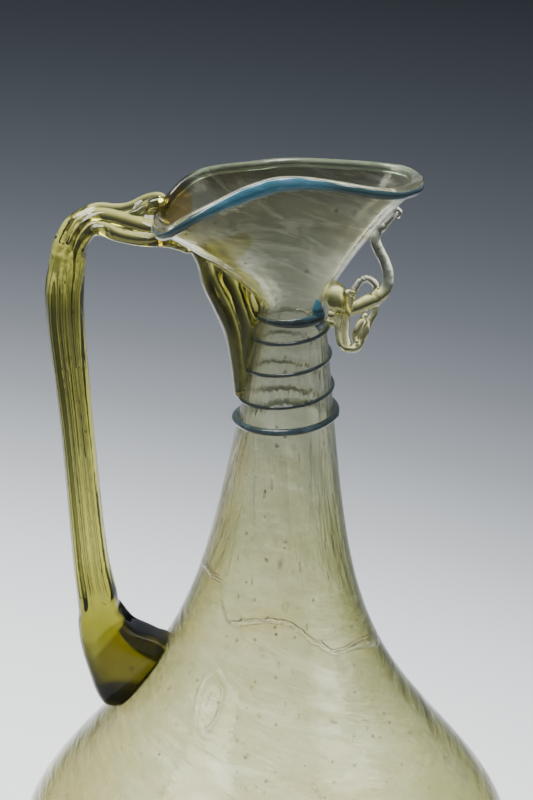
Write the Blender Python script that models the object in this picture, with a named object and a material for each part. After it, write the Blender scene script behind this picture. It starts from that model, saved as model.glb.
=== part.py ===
"""A blown glass ewer: vessel, handle, trail round the mouth, thread on the neck and a spout tendril.

Metres, +Z up. The origin is on the floor, on the axis of the round body. The spout points to +X and the
handle to -X. Each piece was a gather of hot glass of its own, so each is one object. The vessel comes first,
and what is laid on it takes its place from the vessel's own surface and keeps a small gap to it.
"""
import math

import bmesh
import bpy
import numpy as np

MM = 0.001

# Vessel: the round body
BODY_RADIUS = 62.5 * MM
BODY_MIDDLE = 65.0 * MM          # height of the widest place
BODY_BOTTOM = 2.0 * MM           # height where the lower half would close, were there no foot
LOWER_FULLNESS = 2.2             # 2 is an ellipse, more is fuller
SHOULDER_FALL = 38.6 * MM        # how far above the widest place the shoulder has fallen in
SHOULDER_POWER = 1.75
MIDDLE_EASE = 5.0 * MM
WALL = 1.5 * MM

# Vessel: the foot, formed from the wall and pushed in below
FOOT_RADIUS = 26.0 * MM
FOOT_WIDTH = 4.4 * MM            # the flat ring that it stands on
FOOT_ROUND = 1.2 * MM
FOOT_HEIGHT = 5.6 * MM
FLOOR_KICK = 5.0 * MM            # how far the middle of the underside is pushed in
FLOOR_WALL = 2.2 * MM

# Vessel: the neck, which leans towards the spout
RING_HEIGHT = 184.0 * MM         # where the thick ring of the thread lies
NECK_RADIUS = 11.4 * MM          # at that ring
NECK_LENGTH = 28.6 * MM          # from that ring up to where the mouth starts
NECK_TOP = RING_HEIGHT + NECK_LENGTH
NECK_TOP_RADIUS = 7.5 * MM
NECK_LEAN = 0.056                # sideways for each unit of height
LEAN_START = 94.0 * MM
LEAN_EASE = 8.0 * MM

# Vessel: the mouth, a long boat squeezed in at its waist, measured from the middle of the neck's top
MOUTH_BACK = 31.9 * MM
MOUTH_FRONT = 28.9 * MM
BACK_LOBE_WIDTH = 31.0 * MM
BACK_LOBE_PLACE = 22.5 * MM
WAIST_WIDTH = 14.0 * MM
FRONT_LOBE_WIDTH = 19.4 * MM
FRONT_LOBE_PLACE = 20.0 * MM
BACK_RISE = 20.8 * MM            # height of the lip over the neck's top, at its back end
LOBE_RISE = 27.0 * MM            # at the back lobe
WAIST_RISE = 32.6 * MM
FRONT_RISE = 30.8 * MM
TIP_RISE = 30.4 * MM
FUNNEL_FLARE = 1.3               # 1 is a straight funnel, more opens later
LIP_THICKNESS = 2.3 * MM

# Pieces laid on the vessel keep this gap to it
GAP = 0.3 * MM

# Trail round the mouth
TRAIL_THICKNESS = 1.2 * MM
TRAIL_HEIGHT = 2.2 * MM
TRAIL_SWELL = 1.5 * MM           # more height, and half as much more thickness, where the trail is thickest
TRAIL_LIFT = 0.4 * MM            # its middle, over the middle of the lip

# Thread on the neck
THREAD_DROP = 1.8 * MM           # where the thread starts, below the neck's top
RING_DROP = 1.0 * MM             # where it ends, below RING_HEIGHT
THREAD_TOP = NECK_TOP - THREAD_DROP
THREAD_END = RING_HEIGHT - RING_DROP
THREAD_TURNS = 4.85
RING_OVERLAP = 0.28              # turns that lie level at the end of the ring
THREAD_THICKNESS = 0.95 * MM
RING_THICKNESS = 1.7 * MM
BAND_THICKNESS = 1.9 * MM
BLOB_THICKNESS = 3.0 * MM
BLOB_LENGTH = 7.6 * MM
BLOB_LIFT = 0.9 * MM             # how far the blob's middle lies above the thread's start
BLOB_ANGLE = -42.0               # degrees from the spout, towards the side that is seen
BLOB_TURN = 0.025                # place of the blob along the thread, in turns

# Handle
HANDLE_BASE = 117.0 * MM         # height of the middle of its pad on the shoulder
HANDLE_REACH = 47.4 * MM
HANDLE_RISE = 20.8 * MM          # middle of its level run, over the neck's top
HANDLE_TOP = NECK_TOP + HANDLE_RISE
STRAP_THICKNESS = 7.5 * MM
STRAP_WIDTH = 11.0 * MM
PAD_THICKNESS = 20.0 * MM
PAD_WIDTH = 15.0 * MM
BRIDGE_THICKNESS = 5.0 * MM      # the level run from the bend to the mouth
FAN_WIDTH = 18.0 * MM            # where it spreads on the back lobe
FAN_TILT = 18.0                  # degrees, the side away from the camera higher
TAIL_THICKNESS = 9.6 * MM
TAIL_WIDTH = 9.0 * MM
TAIL_CLEARANCE = 5.0 * MM        # from the tail's end down to the thread's ring
TAIL_END = RING_HEIGHT + TAIL_CLEARANCE
RIB_DEPTH = 0.09                 # share of the strap's thickness
RIB_COUNT = 3

# Spout tendril
ROD_THICKNESS = 2.5 * MM
COIL_THICKNESS = 1.85 * MM
CURL_EYE = 0.7 * MM              # width of the hole in the curl
CURL_RISE = 23.1 * MM            # its middle, over the neck's top
COIL_REACH = 7.7 * MM            # middle of the coil, out from the neck's wall
COIL_DROP = 3.3 * MM             # and below the neck's top
COIL_HEIGHT = 17.6 * MM
COIL_WIDTH = 7.5 * MM
COIL_DEPTH = 7.0 * MM            # how far its near and far strands stand apart
COIL_TWIST = 1.7 * MM            # how far the coil comes nearer over its two turns
COIL_LEAN = 0.2                  # sideways for each unit of height
COIL_CLOSING = 0.58              # share of its width that the second turn loses
COIL_START = 170.0               # degrees round the oval, from its far side, where the coil begins
COIL_END = 568.0

# Facets
AROUND = 34
TUBE_SIDES = 6


def softened_ramp(value, start, ease):
    """Zero below start, a straight slope above it, and a smooth bend between."""
    return ease * np.logaddexp(0.0, (value - start) / ease)


def axis_x(height):
    """Place of the vessel's own axis, which leans above the shoulder."""
    return NECK_LEAN * softened_ramp(height, LEAN_START, LEAN_EASE)


def neck_taper(height):
    """Radius of the neck's cone at a height."""
    share = (height - RING_HEIGHT) / (NECK_TOP - RING_HEIGHT)
    return NECK_RADIUS + (NECK_TOP_RADIUS - NECK_RADIUS) * share


def outer_radius(height):
    """Radius of the vessel's outside below the mouth."""
    rise = height - BODY_MIDDLE
    if rise < 0.0:
        share = -rise / (BODY_MIDDLE - BODY_BOTTOM)
        return BODY_RADIUS * (1.0 - share ** LOWER_FULLNESS) ** (1.0 / LOWER_FULLNESS)
    eased = math.hypot(rise, MIDDLE_EASE) - MIDDLE_EASE
    bell = math.exp(-(eased / SHOULDER_FALL) ** SHOULDER_POWER)
    cone = neck_taper(height)
    return cone + (BODY_RADIUS - cone) * bell


def smooth_curve(points, per_span, closed=False):
    """Catmull-Rom curve through points (any number of columns), with per_span steps between neighbours."""
    points = np.asarray(points, float)
    count = len(points)
    spans = count if closed else count - 1
    result = []
    for span in range(spans):
        if closed:
            p0, p1, p2, p3 = (points[(span + step) % count] for step in (-1, 0, 1, 2))
        else:
            p1, p2 = points[span], points[span + 1]
            p0 = points[span - 1] if span > 0 else 2.0 * p1 - p2
            p3 = points[span + 2] if span + 2 < count else 2.0 * p2 - p1
        for step in range(per_span):
            t = step / per_span
            result.append(0.5 * (2.0 * p1 + (p2 - p0) * t + (2.0 * p0 - 5.0 * p1 + 4.0 * p2 - p3) * t ** 2
                                 + (3.0 * p1 - p0 - 3.0 * p2 + p3) * t ** 3))
    if not closed:
        result.append(points[-1])
    return np.array(result)


def even_steps(curve, count, closed=False):
    """The same curve with its points at equal distances."""
    if closed:
        curve = np.vstack([curve, curve[:1]])
    lengths = np.linalg.norm(np.diff(curve[:, :3], axis=0), axis=1)
    along = np.concatenate([[0.0], np.cumsum(lengths)])
    wanted = np.linspace(0.0, along[-1], count + 1)[:-1] if closed else np.linspace(0.0, along[-1], count)
    return np.stack([np.interp(wanted, along, curve[:, column]) for column in range(curve.shape[1])], axis=1)


def lip_curve(count):
    """Middle of the lip, from the spout's tip round by the far side, as count points."""
    centre = axis_x(NECK_TOP)
    corner_rise = BACK_RISE + 0.2 * (LOBE_RISE - BACK_RISE)
    side = [
        (-MOUTH_BACK, 0.0, BACK_RISE),
        (-MOUTH_BACK + 0.08 * BACK_LOBE_WIDTH, 0.39 * BACK_LOBE_WIDTH, corner_rise),
        (-BACK_LOBE_PLACE, 0.5 * BACK_LOBE_WIDTH, LOBE_RISE),
        (-0.42 * BACK_LOBE_PLACE, 0.4 * WAIST_WIDTH + 0.1 * BACK_LOBE_WIDTH, 0.96 * WAIST_RISE),
        (0.04 * FRONT_LOBE_PLACE, 0.5 * WAIST_WIDTH, WAIST_RISE),
        (FRONT_LOBE_PLACE, 0.5 * FRONT_LOBE_WIDTH, FRONT_RISE),
        (0.92 * MOUTH_FRONT, 0.34 * FRONT_LOBE_WIDTH, 0.5 * (FRONT_RISE + TIP_RISE)),
        (MOUTH_FRONT, 0.0, TIP_RISE),
    ]
    far = [(centre + x, y, NECK_TOP + z) for x, y, z in reversed(side)]
    near = [(centre + x, -y, NECK_TOP + z) for x, y, z in side[1:-1]]
    return even_steps(smooth_curve(far + near, 24, closed=True), count, closed=True)


def body_heights():
    """Heights of the rings from the foot to the neck's top, closer together where the wall curves more."""
    low = BODY_MIDDLE - (BODY_MIDDLE - BODY_BOTTOM) * np.cos(np.radians(np.linspace(24.0, 90.0, 7)))
    shoulder = BODY_MIDDLE + (RING_HEIGHT - BODY_MIDDLE) * np.linspace(0.0, 1.0, 16)[1:] ** 1.2
    neck = np.linspace(RING_HEIGHT, NECK_TOP, 4)[1:]
    return np.concatenate([low, shoulder, neck])


def middle_surface(count):
    """Rings of the middle of the wall, from the foot up to the lip."""
    angles = np.linspace(0.0, 2.0 * math.pi, count, endpoint=False)
    circle = np.stack([np.cos(angles), np.sin(angles)], axis=1)
    rings = []
    for height in body_heights():
        ring = np.zeros((count, 3))
        ring[:, :2] = circle * (outer_radius(height) - 0.5 * WALL)
        ring[:, 0] += axis_x(height)
        ring[:, 2] = height
        rings.append(ring)
    neck = rings[-1]
    lip = lip_curve(count)
    for share in np.linspace(0.0, 1.0, 8)[1:]:
        ring = neck + (lip - neck) * share
        ring[:, :2] = neck[:, :2] + (lip[:, :2] - neck[:, :2]) * share ** FUNNEL_FLARE
        rings.append(ring)
    return np.array(rings)


def surface_frame(rings):
    """Outward normals and upward directions of a grid of rings."""
    up = np.gradient(rings, axis=0)
    around = np.roll(rings, -1, axis=1) - np.roll(rings, 1, axis=1)
    normal = np.cross(around, up)
    normal /= np.linalg.norm(normal, axis=2, keepdims=True)
    up /= np.linalg.norm(up, axis=2, keepdims=True)
    return normal, up


def round_ring(radius, height, count):
    """A level ring on the body's axis."""
    angles = np.linspace(0.0, 2.0 * math.pi, count, endpoint=False)
    return np.stack([radius * np.cos(angles), radius * np.sin(angles), np.full(count, height)], axis=1)


def underside_height(radius):
    """Height of the pushed-in underside."""
    return FLOOR_KICK * (1.0 - (radius / (FOOT_RADIUS - FOOT_ROUND - FOOT_WIDTH)) ** 2)


def foot_rings(count):
    """Outside of the foot, from the middle of the underside out and up to the body."""
    inner = FOOT_RADIUS - FOOT_ROUND - FOOT_WIDTH
    outline = [(inner * share, underside_height(inner * share)) for share in (0.0, 0.35, 0.7)]
    outline += [(inner, 0.0), (FOOT_RADIUS - FOOT_ROUND, 0.0)]
    outline += [(FOOT_RADIUS, FOOT_ROUND), (FOOT_RADIUS, 0.5 * FOOT_HEIGHT)]
    outline += [(outer_radius(FOOT_HEIGHT), FOOT_HEIGHT)]
    return [round_ring(radius, height, count) for radius, height in outline]


def floor_rings(count):
    """Inside of the floor, from the body's wall in to the middle."""
    edge = outer_radius(FOOT_HEIGHT) - 2.0 * WALL
    outline = [(edge, FLOOR_WALL + 0.5 * FOOT_HEIGHT)]
    outline += [(edge * share, underside_height(edge * share) + FLOOR_WALL) for share in (0.7, 0.35, 0.0)]
    return [round_ring(radius, height, count) for radius, height in outline]


def wrapped_grid(name, rings):
    """Closed mesh from rings of points: a grid wrapped round, with its seam and its end poles merged."""
    rings = np.asarray(rings)
    rows, columns = rings.shape[:2]
    mesh = bpy.data.meshes.new(name)
    bm = bmesh.new()
    bmesh.ops.create_grid(bm, x_segments=rows - 1, y_segments=columns, size=1.0)
    for vert in bm.verts:
        row = round(0.5 * (vert.co.x + 1.0) * (rows - 1))
        column = round(0.5 * (vert.co.y + 1.0) * columns) % columns
        vert.co = rings[row, column]
    bmesh.ops.remove_doubles(bm, verts=bm.verts, dist=1e-7)
    bmesh.ops.recalc_face_normals(bm, faces=bm.faces)
    bm.to_mesh(mesh)
    bm.free()
    mesh.shade_smooth()
    piece = bpy.data.objects.new(name, mesh)
    bpy.context.scene.collection.objects.link(piece)
    return piece


def glass(name, colour, roughness, clear):
    """One glass as a Principled material."""
    material = bpy.data.materials.new(name)
    material.use_nodes = True
    shader = material.node_tree.nodes["Principled BSDF"]
    shader.inputs["Base Color"].default_value = (*colour, 1.0)
    shader.inputs["Roughness"].default_value = roughness
    shader.inputs["Metallic"].default_value = 0.0
    shader.inputs["Transmission Weight"].default_value = clear
    shader.inputs["IOR"].default_value = 1.5
    return material


def pale_glass():
    return glass("pale_glass", (0.80, 0.82, 0.62), 0.05, 1.0)


def turquoise_glass():
    return glass("turquoise_glass", (0.08, 0.32, 0.42), 0.2, 0.0)


def olive_glass():
    return glass("olive_glass", (0.62, 0.60, 0.26), 0.08, 1.0)


def clear_glass():
    return glass("clear_glass", (0.80, 0.80, 0.62), 0.05, 1.0)


def make_vessel():
    """The blown vessel, hollow from its mouth down to its floor."""
    middle = middle_surface(AROUND)
    normal, up = surface_frame(middle)
    rings = foot_rings(AROUND)
    rings += list(middle + 0.5 * WALL * normal)[:-1]
    for turn in np.radians(np.linspace(-25.0, 205.0, 6)):
        rings.append(round_lip(middle, normal, up, 0.5 * LIP_THICKNESS, turn))
    rings += list(middle - 0.5 * WALL * normal)[-2::-1]
    rings += floor_rings(AROUND)
    vessel = wrapped_grid("vessel", rings)
    vessel.data.materials.append(pale_glass())
    return vessel


def round_lip(middle, normal, up, reach, turn):
    """One ring of the lip's round edge, at a turn from straight outwards."""
    return middle[-1] + reach * (math.cos(turn) * normal[-1] + math.sin(turn) * up[-1])


def make_vessel_cutter():
    """The outside of the vessel and its trail as one solid, a gap larger, to cut what is laid on them."""
    count = 2 * AROUND
    middle = middle_surface(count)
    normal, _ = surface_frame(middle)
    first = int(np.searchsorted(body_heights(), BODY_MIDDLE))
    outside = middle + (0.5 * WALL + GAP) * normal
    rings = [round_ring(0.0, BODY_MIDDLE, count)] + list(outside[first:-1])
    path, thickness, height, up = trail_path(GAP)
    for turn in np.radians((-90.0, -30.0, 30.0, 90.0)):
        out, rise = 0.5 * math.cos(turn) * thickness, 0.5 * math.sin(turn) * height
        rings.append(path + out[:, None] * normal[-1] + rise[:, None] * up)
    lid = rings[-1].copy()
    lid[:, 2] = NECK_TOP + WAIST_RISE + 4.0 * LIP_THICKNESS
    rings.append(lid)
    rings.append(round_ring(0.0, lid[0, 2], count) + np.array([axis_x(NECK_TOP), 0.0, 0.0]))
    return as_cutter(wrapped_grid("vessel_cutter", rings))


def as_cutter(piece):
    """Mark a solid as one that only cuts others."""
    piece.hide_render = True
    piece.display_type = "WIRE"
    return piece


def carried_sides(tangent):
    """Sideways directions along a path, carried from point to point without twisting."""
    side = np.cross(tangent[0], (0.3, 0.9, 0.1))
    sides = []
    for direction in tangent:
        side = side - direction * np.dot(side, direction)
        side = side / np.linalg.norm(side)
        sides.append(side)
    return np.array(sides)


def tube_rings(path, thickness, width, side_hint, sides=TUBE_SIDES, closed=False, shape=None):
    """Rings of a tube along a path. Thickness lies across side_hint and width along it, both as full sizes.

    Without a side_hint the tube is round and its sides are carried along the path.
    """
    path = np.asarray(path, float)
    count = len(path)
    if closed:
        tangent = np.roll(path, -1, axis=0) - np.roll(path, 1, axis=0)
    else:
        tangent = np.gradient(path, axis=0)
    tangent /= np.linalg.norm(tangent, axis=1, keepdims=True)
    if side_hint is None:
        side = carried_sides(tangent)
    else:
        hint = np.broadcast_to(np.asarray(side_hint, float), path.shape)
        side = hint - tangent * np.sum(hint * tangent, axis=1, keepdims=True)
    side /= np.linalg.norm(side, axis=1, keepdims=True)
    across = np.cross(side, tangent)
    thickness = np.broadcast_to(np.asarray(thickness, float), (count,))
    width = np.broadcast_to(np.asarray(width, float), (count,))
    rings = []
    for index in range(count):
        ring = []
        for corner in range(sides):
            turn = 2.0 * math.pi * (corner + 0.5) / sides
            swell = shape(turn) if shape else 1.0
            ring.append(path[index] + 0.5 * swell * (thickness[index] * math.cos(turn) * across[index]
                                                     + width[index] * math.sin(turn) * side[index]))
        rings.append(ring)
    rings = list(np.array(rings))
    if closed:
        return rings + rings[:1]
    return [np.tile(path[0], (sides, 1))] + rings + [np.tile(path[-1], (sides, 1))]


def trail_path(grow):
    """Middle line of the trail round the mouth, with its thickness and height at each point."""
    middle = middle_surface(2 * AROUND)
    normal, up = surface_frame(middle)
    lip = middle[-1]
    bulge = np.exp(-((lip[:, 0] + 0.1 * MOUTH_BACK) / (0.45 * MOUTH_FRONT)) ** 2)
    thickness = TRAIL_THICKNESS + 0.5 * TRAIL_SWELL * bulge
    height = TRAIL_HEIGHT + TRAIL_SWELL * bulge
    lift = TRAIL_LIFT - 0.4 * TRAIL_SWELL * bulge
    reach = 0.5 * LIP_THICKNESS + GAP + 0.5 * thickness
    path = lip + lift[:, None] * up[-1] + reach[:, None] * normal[-1]
    return path, thickness + 2.0 * grow, height + 2.0 * grow, up[-1]


def make_trail():
    """The trail round the mouth, a closed ring under the lip."""
    path, thickness, height, up = trail_path(0.0)
    trail = wrapped_grid("rim_trail", tube_rings(path, thickness, height, up, closed=True))
    trail.data.materials.append(turquoise_glass())
    return trail


def thread_height(share):
    """Height of the thread along its length: it sinks fastest in the middle and settles in the ring."""
    settled = min(share * THREAD_TURNS / (THREAD_TURNS - RING_OVERLAP), 1.0)
    ease = 0.35 * settled + 0.65 * settled * settled * (3.0 - 2.0 * settled)
    return THREAD_TOP + (THREAD_END - THREAD_TOP) * ease


def thread_width(share):
    """Thickness of the thread along its length, from the blob's band to the thick ring."""
    turn = share * THREAD_TURNS
    band = (BAND_THICKNESS - THREAD_THICKNESS) * math.exp(-(turn / 0.45) ** 2)
    ring = (RING_THICKNESS - THREAD_THICKNESS) / (1.0 + math.exp(-(turn - (THREAD_TURNS - 1.25)) / 0.07))
    return THREAD_THICKNESS + band + ring


def on_neck(height, angle, distance):
    """A point outside the neck's wall, at a distance from it. The angle is in degrees from the spout."""
    reach = outer_radius(height) + distance
    turn = math.radians(angle)
    return (axis_x(height) + reach * math.cos(turn), reach * math.sin(turn), height)


def thread_path():
    """Points along the thread, with its thickness off the neck and its height along the neck."""
    points = []
    steps = round(THREAD_TURNS * 18)
    blob_turns = BLOB_TURN * np.array([0.0, 0.5, 1.0, 1.6, 2.4])
    turns = np.concatenate([blob_turns, np.linspace(0.0, THREAD_TURNS, steps + 1)[2:]])
    for turn in turns:
        share = turn / THREAD_TURNS
        thickness = thread_width(share)
        drop = math.exp(-((turn / BLOB_TURN - 1.0) / 0.72) ** 2)
        depth = thickness + (BLOB_THICKNESS - thickness) * drop
        tall = thickness + (BLOB_LENGTH - thickness) * drop
        if turn in (turns[0], turns[-1]):
            depth, tall = 0.6 * depth, 0.6 * tall
        height = thread_height(share) + BLOB_LIFT * math.exp(-((turn / BLOB_TURN - 1.0) / 5.0) ** 2)
        angle = BLOB_ANGLE - 360.0 * (turn - BLOB_TURN)
        points.append((*on_neck(height, angle, GAP + 0.5 * depth), depth, tall))
    return np.array(points)


def make_thread(name="neck_spiral", grow=0.0):
    """The thread that winds down the neck into a thick ring."""
    points = thread_path()
    depth, tall = points[:, 3] + 2.0 * grow, points[:, 4] + 2.0 * grow
    thread = wrapped_grid(name, tube_rings(points[:, :3], depth, tall, (0.0, 0.0, 1.0), sides=5))
    thread.data.materials.append(turquoise_glass())
    return thread


def back_wall(height):
    """Place of the vessel's outside on the handle's side, below the neck's top."""
    return axis_x(height) - outer_radius(height)


def pad_stations():
    """Foot of the handle on the shoulder. A station is x, y, z, thickness, width and tilt."""
    base_x = back_wall(HANDLE_BASE)
    return [
        (base_x - 0.025 * PAD_THICKNESS, 0.0, HANDLE_BASE - 0.17 * PAD_THICKNESS,
         1.08 * PAD_THICKNESS, PAD_WIDTH, 0.0),
        (base_x - 0.29 * PAD_THICKNESS, 0.0, HANDLE_BASE + 0.1 * PAD_THICKNESS,
         PAD_THICKNESS, PAD_WIDTH, 0.0),
        (outwards(base_x, 0.546), 0.0, HANDLE_BASE + 0.58 * PAD_THICKNESS,
         0.62 * PAD_THICKNESS, 0.9 * PAD_WIDTH, 0.0),
    ]


def outwards(start_x, share):
    """Place at a share of the way from a place on the vessel out to the handle's full reach."""
    return start_x - share * (HANDLE_REACH + start_x)


def mouth_end():
    """The lip's back end, which the handle meets."""
    lip = lip_curve(AROUND)
    return lip[np.argmin(lip[:, 0])]


def strap_stations():
    """The upright part of the handle and its bend. Out and up are shares of the whole."""
    rise = HANDLE_TOP - HANDLE_BASE
    upright = [
        (0.662, 0.172, 1.2, 1.0), (0.738, 0.26, 1.07, 0.96), (0.816, 0.412, 1.0, 0.94),
        (0.895, 0.584, 1.0, 1.0), (0.99, 0.761, 1.11, 1.04), (1.0, 0.848, 1.15, 1.06),
    ]
    bend = [(0.972, 0.909, 1.05, 1.08), (0.902, 0.962, 0.9, 1.08)]
    stations = []
    for start_x, shares in ((back_wall(HANDLE_BASE), upright), (mouth_end()[0], bend)):
        stations += [(outwards(start_x, out), 0.0, HANDLE_BASE + up * rise,
                      thick * STRAP_THICKNESS, broad * STRAP_WIDTH, 0.0) for out, up, thick, broad in shares]
    return stations


def bridge_stations():
    """The level run to the mouth, which spreads under the back lobe and turns down to the neck."""
    back = mouth_end()
    neck_x = back_wall(NECK_TOP)
    thick, wide, fan, tail = BRIDGE_THICKNESS, STRAP_WIDTH, FAN_WIDTH, TAIL_THICKNESS
    return [
        (outwards(back[0], 0.722), 0.2 * MM, HANDLE_TOP - 0.1 * thick, 1.1 * thick, 1.06 * wide, 0.0),
        (outwards(back[0], 0.4), 0.5 * MM, HANDLE_TOP, thick, 1.1 * wide, 0.3 * FAN_TILT),
        (back[0] - 0.6 * thick, 1.6 * MM, back[2], 1.1 * thick, 0.85 * fan, FAN_TILT),
        (back[0] + 0.6 * thick, 2.2 * MM, back[2] - 0.7 * thick, 1.2 * thick, fan, FAN_TILT),
        (0.62 * back[0] + 0.38 * neck_x, 2.2 * MM, NECK_TOP + 0.63 * BACK_RISE, 0.66 * tail, 0.8 * fan, 0.0),
        (neck_x - 1.02 * tail, 1.6 * MM, NECK_TOP + 0.35 * BACK_RISE, 0.9 * tail, 1.3 * TAIL_WIDTH, 0.0),
        (neck_x - 0.72 * tail, 1.0 * MM, NECK_TOP, tail, 1.1 * TAIL_WIDTH, 0.0),
    ]


def tail_stations():
    """The tail that runs down the back of the neck and thins out."""
    stations = []
    for share, thick, broad in ((0.3, 0.9, 0.95), (0.55, 0.66, 0.8), (0.8, 0.42, 0.65), (1.0, 0.2, 0.4)):
        height = NECK_TOP - share * (NECK_TOP - TAIL_END)
        thickness = thick * TAIL_THICKNESS
        stations.append((back_wall(height) - 0.47 * thickness, 0.6 * MM, height,
                         thickness, broad * TAIL_WIDTH, 0.0))
    return stations


def ribbed(turn):
    """Outline of the strap: flat sides with a few ribs along them."""
    corner = (abs(math.cos(turn)) ** 3.0 + abs(math.sin(turn)) ** 3.0) ** (-1.0 / 3.0)
    return corner * (1.0 - RIB_DEPTH * (0.5 + 0.5 * math.cos(2.0 * RIB_COUNT * turn)))


def make_handle(cutters):
    """The strap handle, cut to the vessel and to the trail and thread that it covers."""
    stations = pad_stations() + strap_stations() + bridge_stations() + tail_stations()
    stations = even_steps(smooth_curve(stations, 8), 50)
    tilt = np.radians(stations[:, 5])
    side = np.stack([np.zeros(len(tilt)), np.cos(tilt), np.sin(tilt)], axis=1)
    rings = tube_rings(stations[:, :3], stations[:, 3], stations[:, 4], side, sides=12, shape=ribbed)
    handle = wrapped_grid("handle", rings)
    handle.data.materials.append(olive_glass())
    cut_by(handle, cutters)
    return handle


def cut_by(piece, cutters):
    """Take the cutters out of a piece."""
    for cutter in cutters:
        cut = piece.modifiers.new("fit_to_" + cutter.name, "BOOLEAN")
        cut.operation = "DIFFERENCE"
        cut.solver = "EXACT"
        cut.object = cutter


def front_wall(height):
    """Place of the vessel's outside on the spout's side, up to the lip."""
    if height <= NECK_TOP:
        return axis_x(height) + outer_radius(height)
    share = min((height - NECK_TOP) / TIP_RISE, 1.0)
    start = axis_x(NECK_TOP) + NECK_TOP_RADIUS
    return start + (MOUTH_FRONT - NECK_TOP_RADIUS) * share ** FUNNEL_FLARE


def curl_points():
    """The small curl where the tendril meets the mouth. A point is x, y, z and thickness."""
    thickness = 0.58 * ROD_THICKNESS
    radius = 0.5 * (CURL_EYE + thickness)
    middle_x = front_wall(NECK_TOP + CURL_RISE) + 1.1 * (radius + 0.5 * thickness)
    points = []
    for turn in np.radians((-85.0, 0.0, 75.0, 145.0)):
        points.append((middle_x + radius * math.cos(turn), -0.5 * thickness,
                       NECK_TOP + CURL_RISE + radius * math.sin(turn), thickness))
    return points


def rod_points():
    """The free rod, from the curl out and down, back to the lump on the neck and up over it."""
    # Millimetres out from the wall, across and up from the neck's top, and a share of the thickness
    along_mouth = [
        (2.1, -0.5, 20.3, 0.76), (2.2, -0.3, 18.8, 0.96), (2.0, -0.3, 17.2, 1.0), (3.0, -0.2, 15.3, 1.0),
    ]
    below_mouth = [
        (12.7, -0.1, 13.2, 1.0), (13.9, 0.0, 10.7, 1.0), (14.7, 0.0, 8.3, 1.0), (14.9, 0.0, 6.0, 1.0),
        (14.6, 0.0, 3.8, 1.06), (13.4, 0.0, 2.1, 1.2), (11.4, 0.0, 0.8, 1.42), (8.9, 0.0, -0.3, 1.52),
        (6.5, 0.3, -1.4, 1.36), (4.4, 0.8, -2.0, 1.2), (2.6, 1.3, -1.2, 1.3), (1.8, 1.1, 1.0, 1.35),
        (2.2, 0.1, 3.3, 1.0), (3.8, -1.3, 3.6, 0.76),
    ]
    points = []
    for out, across, up, thick in along_mouth:
        points.append((front_wall(NECK_TOP + up * MM) + out * MM, across * MM,
                       NECK_TOP + up * MM, thick * ROD_THICKNESS))
    for out, across, up, thick in below_mouth:
        points.append((front_wall(NECK_TOP) + out * MM, across * MM,
                       NECK_TOP + up * MM, thick * ROD_THICKNESS))
    return points


def coil_points():
    """The coil beside the neck: two turns of an oval, the second one narrower."""
    points = []
    for degrees in np.linspace(COIL_START, COIL_END, 18):
        turn = math.radians(degrees)
        closing = 1.0 - COIL_CLOSING * min(max((degrees - 440.0) / 130.0, 0.0), 1.0)
        height = 0.5 * COIL_HEIGHT * math.sin(turn)
        out = COIL_REACH + 0.5 * COIL_WIDTH * closing * math.cos(turn) + COIL_LEAN * height
        nearer = COIL_TWIST * (0.5 - (degrees - COIL_START) / (COIL_END - COIL_START))
        points.append((front_wall(NECK_TOP) + out, 0.5 * COIL_DEPTH * math.cos(turn) + nearer,
                       NECK_TOP - COIL_DROP + height, COIL_THICKNESS))
    return points


def make_tendril(cutters):
    """The free rod under the spout, curled at its top and coiled beside the neck."""
    points = even_steps(smooth_curve(curl_points() + rod_points() + coil_points(), 8), 84)
    rings = tube_rings(points[:, :3], points[:, 3], points[:, 3], None)
    tendril = wrapped_grid("spout_tendril", rings)
    tendril.data.materials.append(clear_glass())
    cut_by(tendril, cutters)
    return tendril


def main():
    for old in list(bpy.data.objects):
        bpy.data.objects.remove(old, do_unlink=True)
    make_vessel()
    make_trail()
    make_thread()
    vessel_cutter = make_vessel_cutter()
    thread_cutter = as_cutter(make_thread("thread_cutter", GAP))
    make_handle((vessel_cutter, thread_cutter))
    make_tendril((vessel_cutter, thread_cutter))


main()
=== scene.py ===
"""Blown glass ewer: the looks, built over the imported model.

Metres, +Z up. The origin is on the floor, on the axis of the round body. The spout points to +X and the
handle to -X. Each piece of hot glass is one object, and each takes the place of the CAD node of its kind.
"""
import math

import bmesh
import bpy
import numpy as np
from bpy.props import FloatProperty, FloatVectorProperty, PointerProperty
from bpy.types import Operator, Panel, PropertyGroup
from mathutils import Matrix, Vector


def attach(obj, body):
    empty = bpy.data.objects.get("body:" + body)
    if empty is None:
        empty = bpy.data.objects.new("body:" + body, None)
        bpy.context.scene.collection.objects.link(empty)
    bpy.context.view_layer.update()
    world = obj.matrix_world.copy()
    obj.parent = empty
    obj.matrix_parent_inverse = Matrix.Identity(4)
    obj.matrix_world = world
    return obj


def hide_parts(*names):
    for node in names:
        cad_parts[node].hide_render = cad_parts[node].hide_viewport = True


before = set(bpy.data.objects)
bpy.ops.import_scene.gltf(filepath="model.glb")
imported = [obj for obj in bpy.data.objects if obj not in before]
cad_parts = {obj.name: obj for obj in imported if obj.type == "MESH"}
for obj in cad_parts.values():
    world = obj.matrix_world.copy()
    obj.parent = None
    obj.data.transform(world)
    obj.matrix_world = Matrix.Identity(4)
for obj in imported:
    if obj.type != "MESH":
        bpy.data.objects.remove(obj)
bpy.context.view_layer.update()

bl_info = {
    "name": "Glass ewer",
    "version": (1, 0, 0),
    "blender": (4, 5, 0),
    "location": "3D View > Sidebar > Ewer",
    "description": "Builds a blown glass ewer with its trails, handle and spout tendril, and a stage for it",
    "category": "Object",
}

MM = 0.001

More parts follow.
